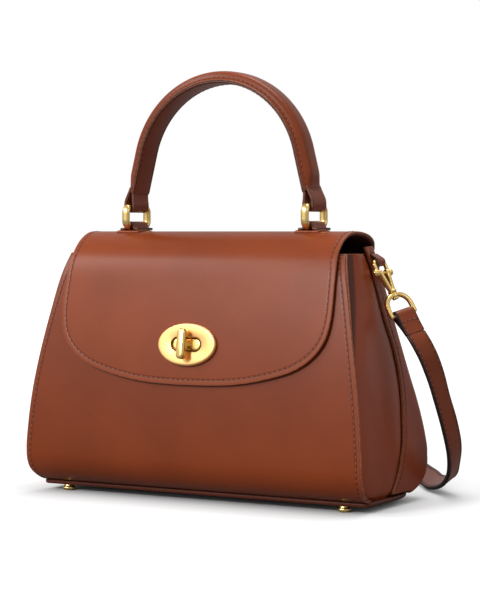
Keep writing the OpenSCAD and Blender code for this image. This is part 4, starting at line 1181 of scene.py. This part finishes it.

# Floor, light and camera: the camera sees a floor that glows, its glow dimmed near the bag by ambient
# occlusion as painted contact shade, and the bag a plain grey one
FLOOR_GLOW, FLOOR_HALF = 0.74, 14.0
p = Paint("studio_floor")
far = p.node("ShaderNodeVectorMath", {"operation": "LENGTH"}, {0: p.node("ShaderNodeTexCoord", out=3)}, out=1)
bounce = p.node("ShaderNodeBsdfDiffuse", {}, {"Color": (0.29, 0.29, 0.29, 1)})
pale = p.node("ShaderNodeBsdfDiffuse", {}, {"Color": (0.38, 0.38, 0.38, 1)})
# ambient occlusion dims the floor's glow near the bag: painted contact shade
contact_shade = p.node("ShaderNodeAmbientOcclusion", {"samples": 8}, {"Distance": 0.06}, out=1)
glow = p.mix(far.soft(0.45, 2.2), (FLOOR_GLOW,) * 3, (FLOOR_GLOW + 0.3,) * 3)
glow = p.node("ShaderNodeEmission", {}, {"Color": p.mix(contact_shade, (0.0, 0.0, 0.0), glow), "Strength": 1.0})
seen = p.node("ShaderNodeLightPath", out=0)
lit = p.node("ShaderNodeAddShader", {}, {0: pale, 1: glow})
both = p.node("ShaderNodeMixShader", {}, {0: seen, 1: bounce, 2: lit})
p.node("ShaderNodeOutputMaterial", {}, {"Surface": both})
mesh = bpy.data.meshes.new("studio_floor")
mesh.from_pydata([(x * FLOOR_HALF, y * FLOOR_HALF, 0) for x, y in ((-1, -1), (1, -1), (1, 1), (-1, 1))], [],
                 [(0, 1, 2, 3)])
mesh.materials.append(p.owner)
floor = bpy.data.objects.new("studio_floor", mesh)
bpy.context.scene.collection.objects.link(floor)

world = bpy.data.worlds.new("studio")
bpy.context.scene.world = world
w = Paint(world)
to_camera, glossy, through = [w.node("ShaderNodeLightPath", out=i) for i in (0, 3, 6)]
seen = to_camera.most((glossy * 0.5).most(through))
dim, white = [w.node("ShaderNodeBackground", {}, {"Color": (1, 1, 1, 1), "Strength": s}) for s in (0.21, 1.0)]
both = w.node("ShaderNodeMixShader", {}, {0: seen, 1: dim, 2: white})
w.node("ShaderNodeOutputWorld", {}, {"Surface": both})


def softbox(name, at, to, size, power):
    """An area lamp at a place, facing a target, both in metres."""
    lamp = bpy.data.lights.new(name, "AREA")
    lamp.shape, lamp.size, lamp.size_y, lamp.energy = "RECTANGLE", *size, power
    obj = bpy.data.objects.new(name, lamp)
    z = unit(np.subtract(at, to))
    x = unit(np.cross([0, 0, 1], z))
    obj.matrix_world = Matrix(np.stack([x, np.cross(z, x), z, at], 1).tolist() + [[0, 0, 0, 1]])
    bpy.context.scene.collection.objects.link(obj)


softbox("key_left", (-3.3, -2.7, 3.1), (0, 0, 0.13), (1.6, 1.6), 84)
softbox("sheen_front", (-0.95, -3.62, 1.95), (0, 0, 0.15), (0.7, 0.7), 108)
softbox("card_left", (-2.05, -3.3, 1.15), (0, 0, 0.12), (1.8, 1.8), 9)
softbox("top", (0.2, 0.6, 3.4), (0, 0, 0.1), (2.0, 1.6), 58)
softbox("fill_right", (3.4, -1.0, 1.8), (0.05, 0, 0.12), (1.6, 2.0), 10)

cam = bpy.data.cameras.new("camera")
cam.lens, cam.sensor_width, cam.sensor_fit, cam.clip_end = 116.9, 36, "AUTO", 100
camera = bpy.data.objects.new("camera", cam)
camera.location = (0.7538, -1.28267, 0.2025)
camera.rotation_euler = (math.radians(90 - 2.04), 0, math.radians(30))
bpy.context.scene.collection.objects.link(camera)
bpy.context.scene.camera = camera
bpy.context.scene.view_settings.view_transform = "Standard"
